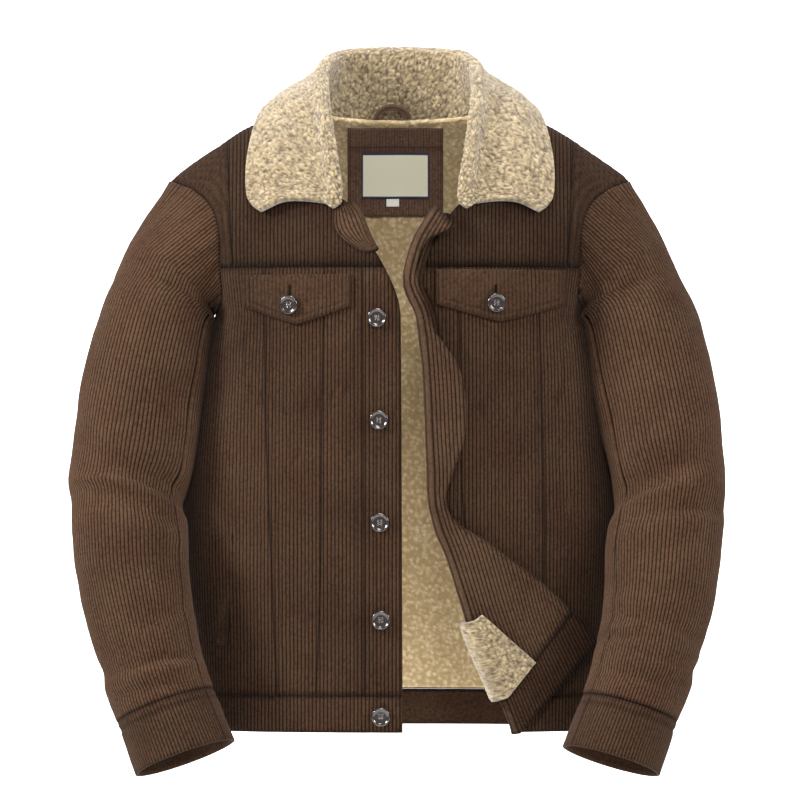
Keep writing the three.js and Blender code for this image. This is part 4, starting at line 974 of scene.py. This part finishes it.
def smooth_curve(points, places):
    """Points along a smooth line through the given ones; points has the line on its last axis but one."""
    count = points.shape[-2]
    start = 2 * points[..., :1, :] - points[..., 1:2, :]
    finish_point = 2 * points[..., -1:, :] - points[..., -2:-1, :]
    padded_line = np.concatenate([start, points, finish_point], -2)
    place = np.clip(places, 0, 1) * (count - 1)
    at = np.minimum(place.astype(int), count - 2)
    part = (place - at)[:, None]
    p0, p1, p2, p3 = (padded_line[..., at + k, :] for k in range(4))
    gaps = [np.maximum(np.linalg.norm(b - a, axis=-1, keepdims=True) ** 0.5, 1e-4)
            for a, b in ((p0, p1), (p1, p2), (p2, p3))]
    first = ((p1 - p0) / gaps[0] - (p2 - p0) / (gaps[0] + gaps[1]) + (p2 - p1) / gaps[1]) * gaps[1]
    last = ((p2 - p1) / gaps[1] - (p3 - p1) / (gaps[1] + gaps[2]) + (p3 - p2) / gaps[2]) * gaps[1]
    return (p1 + first * part + (-3 * p1 + 3 * p2 - 2 * first - last) * part ** 2
            + (2 * p1 - 2 * p2 + first + last) * part ** 3)


# Without a seed the noise that bends the nubs starts from the clock and differs each run
noise.seed_set(1)


def nubs(point, size):
    """Curled pile: rounded nubs of uneven size, 1 on top and 0 in the gaps between them."""
    flat = point.reshape(-1, 3) / size
    values = np.empty(len(flat))
    for number, place in enumerate(flat):
        spot = Vector(place)
        spot += noise.noise_vector(spot * 0.7) * 0.45
        near = noise.voronoi(spot)[0]
        values[number] = near[1] - near[0]
    return np.clip(values * 2.2, 0, 1).reshape(point.shape[:-1]) ** 0.6


def pile(name, point, normal, under, border, size=4.4, height=1.5, colour=None):
    """Pile cloth: the fine side shows its nubs, the other side is plain."""
    nub = nubs(point, size)
    lumps = cell_noise(point, 16.0) * 0.7 + cell_noise(point, 42.0, 4.4) * 0.9
    lift = (height * (nub - 0.45) + lumps) * np.clip(border / 3, 0.3, 1)
    wall(name, point + normal * lift[..., None], under, {"nub": nub}, colour or pile_cream)


def curls(tree, place):
    return add_node(tree, "ShaderNodeTexVoronoi", {"feature": "SMOOTH_F1"}, Vector=place, Scale=230.0)


def pile_finish(name, gap, low, high, nub_share, curl_share, bump_depth):
    """Dull woolly pile: a colour for the gaps between its nubs, dark with painted shade, and two for the
    nubs' tops.
    """
    def colour(tree, place):
        broad = speckle(tree, place, 60.0, 3.0)
        fine = speckle(tree, place, 900.0, 4.0)
        top = blend(low, high, (broad * 2.0 - 0.5).clipped())
        # Painted shade: the colour darkens into the gaps between the nubs and towards the edges of the curls
        raised = mark(tree, "nub") * nub_share + fine * 0.7 - curls(tree, place) * curl_share + 0.05
        return blend(gap, top, raised.clipped())

    def bump(tree, place):
        return speckle(tree, place, 420.0, 5.0, Distortion=2.0) - curls(tree, place) * 1.1

    return finish(name, colour, bump, bump_depth, Roughness=1.0, Sheen_Weight=0.35, Sheen_Roughness=0.6,
                  Specular_IOR_Level=0.1)


# The lining inside the jacket takes a much paler copy of the same pile, with painted light against the shade
# inside the jacket
pile_cream = pile_finish("pile_cream", (0.055, 0.032, 0.012), (0.25, 0.186, 0.096), (0.35, 0.272, 0.150),
                         0.9, 0.9, 0.0011)
lining_pile_painted_light = pile_finish("lining_pile_painted_light", (0.40, 0.28, 0.13), (0.78, 0.63, 0.38), (0.92, 0.80, 0.54),
                          0.35, 1.1, 0.0016)

sections = np.array([collar_section(row, -1) for row in collar_rows]
                    + [collar_section(row, 1) for row in collar_rows[:-1][::-1]])
around_places = np.linspace(0.0012, 0.9988, 380)
over_places = np.linspace(0.003, 0.997, 132)
rails = smooth_curve(np.swapaxes(sections, 0, 1), around_places)
point = smooth_curve(np.swapaxes(rails, 0, 1), over_places)
point = np.swapaxes(point, 0, 1)
normal = unit(np.cross(np.gradient(point, axis=1), np.gradient(point, axis=0)))
edge_away = np.minimum(np.minimum(around_places, 1 - around_places)[None, :] * 700,
                       np.minimum(over_places, 1 - over_places)[:, None] * 190)
pile("collar", point, normal, point - normal * pile_depth, edge_away, height=1.9)

# Pile lining of the fronts and the back, and the corner that is turned out over the left front.
def lining_grid(edge_at, rows, columns):
    """A whole front in rows, 0 at the shoulder seam, 1 at the yoke seam and 2 at the hem band."""
    part = np.linspace(0, 1, columns)
    across, height = np.empty((len(rows), columns)), np.empty((len(rows), columns))
    for number, row in enumerate(rows):
        if row > 1:
            level = mix(yoke_seam, hem_seam, row - 1)
            turns = [angle_at(place, level) for place in (front_side(level), edge_at(level))]
            across[number] = body_point(mix(turns[0], turns[1], part), level, False)[..., 0]
            height[number] = level
            continue
        side, edge, side_height, edge_height, drops = yoke_row(row, edge_at)
        turns = [angle_at(side, side_height), angle_at(edge, edge_height)]
        turn = mix(turns[0], turns[1], part)
        width = half_width(mix(side_height, edge_height, part))
        across[number] = np.sign(turn) * width * np.abs(np.sin(turn)) ** (2 / squareness)
        drop = mix(drops[0], drops[1], (side - across[number]) / (side - edge))
        shoulder = shoulder_at(across[number])
        height[number] = shoulder - drop * (shoulder - yoke_seam)
    return body_spot(across, height)


def grid_border(point):
    """Distance of each point of a grid from the nearer end of its row and its column."""
    steps = np.linalg.norm(np.diff(point, axis=1), axis=-1)
    past = np.concatenate([np.zeros((len(point), 1)), np.cumsum(steps, 1)], 1)
    side = np.minimum(past, past[:, -1:] - past)
    steps = np.linalg.norm(np.diff(point, axis=0), axis=-1)
    past = np.concatenate([np.zeros((1, point.shape[1])), np.cumsum(steps, 0)], 0)
    return np.minimum(side, np.minimum(past, past[-1:] - past))


front_rows = np.concatenate([np.linspace(0.02, 1, 60) ** 1.4, np.linspace(1.007, 1.997, 130)])
# The inner linings take the paler copy of the pile, with painted light; the corner turned out over the left
# front keeps the collar's pile
for side, sign, edge_at, filled in (("right", -1, right_lining, 0.68), ("left", 1, left_lining, 0.63)):
    point, normal = mirror(sign, *lining_grid(edge_at, front_rows, 56))
    pile(f"{side}_lining", point - normal * lining_end, -normal, point - normal * lining_start,
         grid_border(point), size=5.0, colour=lining_pile_painted_light)

upper = back_yoke_grid(np.linspace(0.02, 1, 56) ** 1.4, step=2.4)
lower = level_grid(np.linspace(back_yoke_seam - 3, hem_seam + 1.3, 170), lambda h: -back_side(h), back_side,
                   True, step=2.4)
halves = []
for point, normal, _, _ in (upper, lower):
    joined_rows = []
    for row_point, row_normal in zip(point, normal):
        steps = np.append(0, np.cumsum(np.linalg.norm(np.diff(row_point, axis=0), axis=1)))
        keep = np.append(True, np.diff(steps) > 1e-6)
        places = mix(1.5, steps[-1] - 1.5, np.linspace(0, 1, 200))
        both = np.concatenate([row_point, row_normal], 1)[keep]
        joined_rows.append(np.stack([np.interp(places, steps[keep], both[:, k]) for k in range(6)], 1))
    halves.append(np.array(joined_rows))
whole = np.concatenate(halves, 0)
point, normal = whole[..., :3], unit(whole[..., 3:])
# The back lining takes the paler copy of the pile too, with painted light
pile("back_lining", point - normal * lining_end, -normal, point - normal * lining_start,
     grid_border(point), size=5.0, colour=lining_pile_painted_light)

turn_rows = np.linspace(-531, hem_seam + 0.6, 56)
pile_on_facing = facing_end + 1
distance = np.array([np.linspace(-29, strip_end(h) - facing_width - 0.6, 70) for h in turn_rows])
point, normal = strip_spot(distance, np.broadcast_to(turn_rows[:, None], distance.shape))
pile("left_lining_turn", point - normal * (pile_on_facing + 6), -normal, point - normal * pile_on_facing,
     grid_border(point))


# Chest pocket flaps: doubled corduroy with a point at the bottom, sewn into the yoke seam's line and
# stitched twice round the edge, each held by a button through a worked buttonhole.
# Each shape gives both ends, the top, the drop at the ends and at the point, and the buttonhole's place.
flap_shapes = {"right": (51, 164, -171, 33, 52, 114), "left": (37, 173, -166, 36, 54, 99)}
flap_gap = 1.2
flap_depth = 3.0
hole_top, hole_foot = -182, -194
for side, sign in (("right", -1), ("left", 1)):
    near, far, top, side_drop, point_drop, hole_at = flap_shapes[side]
    part, level = np.meshgrid(np.linspace(0, 1, int((far - near) / 0.8)), np.linspace(0, 1, 40))
    bottom = top - mix(point_drop, side_drop, np.abs(2 * part - 1) ** 1.1)
    across, height = mix(far, near, part), mix(top, bottom, level)
    point, normal = mirror(sign, *body_spot(across, height))
    below = (height - bottom) * 0.94
    around = np.minimum(np.minimum(across - near, far - across), below)
    sewn = np.clip(stitch_rows(around, (2.5, 8)) * (level > 0.04), 0, 1)
    hole = line_mark(across - hole_at, 1.2) * (height > hole_foot) * (height < hole_top)
    rolled = -1.2 * line_mark(around, 1.2)
    wave = 1.1 * np.sin(across / 17 + (0.6 if side == "left" else 2.1)) * level + cell_noise(point, 20.0)
    ribs = rib_height(across)
    lift = 0.8 * (ribs - 0.5) - 0.5 * sewn + rolled + wave * np.clip(level * 2, 0, 1) - 0.8 * hole
    base = flap_gap + flap_depth
    seams = np.clip(hole * 1.2 + line_mark(around, 1.0), 0, 1)
    marks = {"rib": ribs * (1 - hole), "sewn": sewn, "seam": seams}
    wall(f"{side}_pocket_flap", point + normal * (base + lift)[..., None],
         point + normal * (flap_gap + wave * 0.4 * level)[..., None], marks, cord_brown)

# Hand pocket welts: narrow doubled strips, their ribs along them, sewn down at both ends.
for side, sign in (("right", -1), ("left", 1)):
    part, level = np.meshgrid(np.linspace(0, 1, 22), np.linspace(0, 1, 30))
    point, normal = mirror(sign, *body_spot(mix(195, 179, part) + 6 * (level - 1), mix(-405, -560, level)))
    ribs = rib_height(part * 16)
    away = np.minimum(part, 1 - part) * 16
    sewn = stitch_rows(away, (2.5,))
    lift = 1.8 + 0.6 * (ribs - 0.5) - 0.5 * sewn + 0.6 * np.sin(level * 9) * np.sin(math.pi * level)
    wall(f"{side}_welt", point + normal * lift[..., None], point + normal * 0.3,
         {"rib": ribs, "sewn": sewn, "seam": line_mark(away, 1.2)}, cord_brown)

# Neck patch: darker corduroy sewn on the back lining, with rounded lower corners and a seam across
# it. On it is a bare cream label with a woven dark blue border, and below that a small white tab.
patch_brown = cord_finish("patch_brown", (0.020, 0.011, 0.0075), (0.16, 0.092, 0.062), (0.14, 0.076, 0.054),
                          0.0003, sheen=0.05, shine=0.1)


def inside_grid(left, right, top, bottom, columns, rows, corner=0.0):
    """A flat piece on the inside of the back; corner rounds off its two lower corners."""
    part, level = np.meshgrid(np.linspace(0, 1, columns), np.linspace(0, 1, rows))
    height = mix(top, bottom, level)
    into = np.clip(corner - (height - bottom), 0, corner)
    narrow = corner - np.sqrt(np.maximum(corner ** 2 - into ** 2, 0)) if corner else 0 * height
    across = mix(left + narrow, right - narrow, part)
    return across, height, *body_spot(across, height, True)


patch_in = lining_end + 0.9
patch_left, patch_right, patch_top, patch_foot = -57, 47, -4, -102
patch_seam = -25.5
across, height, point, normal = inside_grid(patch_left, patch_right, patch_top, patch_foot, 118, 60, 8.0)
around = np.minimum(np.minimum(across - patch_left, patch_right - across), height - patch_foot)
cross_seam = line_mark(height - patch_seam, 1.3)
ribs = rib_height(across, 3.2)
sewn = np.clip(stitch_rows(around, (2.5,)) + stitch_rows(height - patch_seam, (-3,)), 0, 1)
lift = patch_in + 1.5 + 0.5 * (ribs - 0.5) - 0.4 * sewn - 0.7 * cross_seam + 0.5 * cell_noise(point, 18.0)
wall("neck_patch", point - normal * lift[..., None], point - normal * patch_in,
     {"rib": ribs, "sewn": sewn, "seam": np.clip(cross_seam + line_mark(around, 0.9), 0, 1)},
     patch_brown)


def woven(low, high, border):
    def colour(tree, place):
        return blend(blend(low, high, speckle(tree, place, 1500.0)), border, mark(tree, "rim"))
    return colour


label_cream = finish("label_cream", woven((0.93, 0.90, 0.68), (0.97, 0.95, 0.76), (0.018, 0.026, 0.085)),
                     lambda tree, place: add_node(tree, "ShaderNodeTexWave", {"bands_direction": "Z"},
                                                  Vector=place, Scale=900.0),
                     0.00015, Roughness=0.75)
tab_white = finish("tab_white", woven((0.86, 0.84, 0.78), (0.93, 0.92, 0.88), (0.5, 0.5, 0.48)),
                   Roughness=0.7)
label_left, label_right, label_top, label_foot = -42, 32, -31, -82
label_border = 2.0
label_in = patch_in + 1.5 + 0.9
across, height, point, normal = inside_grid(label_left, label_right, label_top, label_foot, 112, 78)
around = np.minimum(np.minimum(across - label_left, label_right - across),
                    np.minimum(label_top - height, height - label_foot))
ripple = 0.35 * np.sin(across / 9) * np.sin(height / 11)
wall("neck_label", point - normal * (label_in + 0.8 + ripple)[..., None],
     point - normal * (label_in + ripple)[..., None], {"rim": (around < label_border) * 1.0},
     label_cream)
across, height, point, normal = inside_grid(-15, -1, -82.5, -91, 15, 10)
wall("size_tab", point - normal * (label_in + 0.6), point - normal * label_in, {"rim": 0 * across},
     tab_white)

# Hanger loop: a narrow turned strip of the dark corduroy above the patch, its ends sewn into the seam.
loop_reach, loop_rise, loop_width = 20, 13, 7
loop_middle = (-8, 44.4, -3)
turn, part = np.meshgrid(np.linspace(0, math.pi, 60), np.linspace(0, 1, 9))
reach = mix(loop_reach, loop_reach - loop_width, part)
rise = loop_rise + loop_width * (0.5 - part)
point = np.stack([-np.cos(turn) * reach, 0 * turn, np.sin(turn) * rise], -1) + loop_middle
back_way = np.array([0, 1, 0])
bulge = 0.7 * np.sin(math.pi * part)
wall("hanger_loop", point - back_way * bulge[..., None], point + back_way * 2,
     {"rib": 0.5 + 0.3 * np.sin(part * 9), "sewn": line_mark(part - 0.2, 0.08), "seam": 0 * part},
     patch_brown)


# Buttons: turned from dark brown resin, 20 mm across, with a raised rim, a dished face and four
# holes, sewn on a shank of brown thread.
def button_colour(tree, place):
    cloudy = blend((0.004, 0.0025, 0.002), (0.018, 0.009, 0.006), speckle(tree, place, 240.0, 3.0))
    return blend(cloudy, (0.07, 0.045, 0.03), mark(tree, "thread"))


resin = finish("resin", button_colour, Roughness=0.2, Coat_Weight=0.6, Coat_Roughness=0.08)
profile = np.array([
    (0, 0), (2.5, 0), (2.5, 1.6), (8.6, 1.6), (9.6, 2.2), (10, 3.2), (9.9, 4.3), (9.4, 5.0), (8.8, 5.2),
    (8.2, 5.0), (7.6, 4.4), (7.0, 4.0), (6.2, 3.85), (5.4, 3.8), (4.6, 3.78), (3.9, 3.76), (3.3, 3.76),
    (2.8, 3.76), (2.3, 3.76), (1.8, 3.78), (1.3, 3.8), (0.8, 3.8), (0.4, 3.8), (0, 3.8)])
button_facets = 48
hole_away = 1.6
on_flap = 4.5
for name, across, height, lift, sign in (
        ("band_button_1", 24, -216, 0, -1), ("band_button_2", 22, -323, 0, -1),
        ("band_button_3", 21, -430, 0, -1), ("band_button_4", 20, -532, 0, -1),
        ("hem_button", 20, -633, 0, -1), ("right_flap_button", 114, -202, on_flap, -1),
        ("left_flap_button", 99, -200, on_flap, 1)):
    spot, out = mirror(sign, *body_spot(float(across), float(height)))
    turn = np.linspace(0, 2 * math.pi, button_facets + 1)[:-1]
    side_way = unit(np.cross(out, np.array([0, 0, 1.0])))
    up_way = np.cross(side_way, out)
    radius, rise = profile[1:-1, 0][:, None], profile[1:-1, 1][:, None]
    flat_x, flat_y = radius * np.cos(turn), radius * np.sin(turn)
    holes = sum(line_mark(np.hypot(flat_x - a, flat_y - b), 0.75)
                for a in (-hole_away, hole_away) for b in (-hole_away, hole_away))
    is_face = (rise > 3.7) & (radius < 6)
    thread = is_face * line_mark(np.abs(flat_x) - hole_away, 0.45) * (np.abs(flat_y) < 1.7)
    deep = rise - 1.2 * holes * is_face + 0.5 * thread
    base = spot + out * (lift + 0.3)
    points = (base + flat_x[..., None] * side_way + flat_y[..., None] * up_way + deep[..., None] * out)
    index = np.arange(points[..., 0].size).reshape(-1, button_facets)
    bottom, top = index.size, index.size + 1
    points = np.concatenate([points.reshape(-1, 3), [base, base + out * 4.0]])
    wrap = np.concatenate([index, index[:, :1]], 1)
    faces = np.stack([wrap[:-1, :-1], wrap[:-1, 1:], wrap[1:, 1:], wrap[1:, :-1]], -1).reshape(-1, 4).tolist()
    faces += [[int(wrap[0, k + 1]), int(wrap[0, k]), bottom] for k in range(button_facets)]
    faces += [[int(wrap[-1, k]), int(wrap[-1, k + 1]), top] for k in range(button_facets)]
    thread_mark = np.append(np.clip(thread.reshape(-1), 0, 1), [0, 0])
    thread_mark[:button_facets] = 1
    make_mesh(name, points, faces, resin, {"thread": thread_mark})
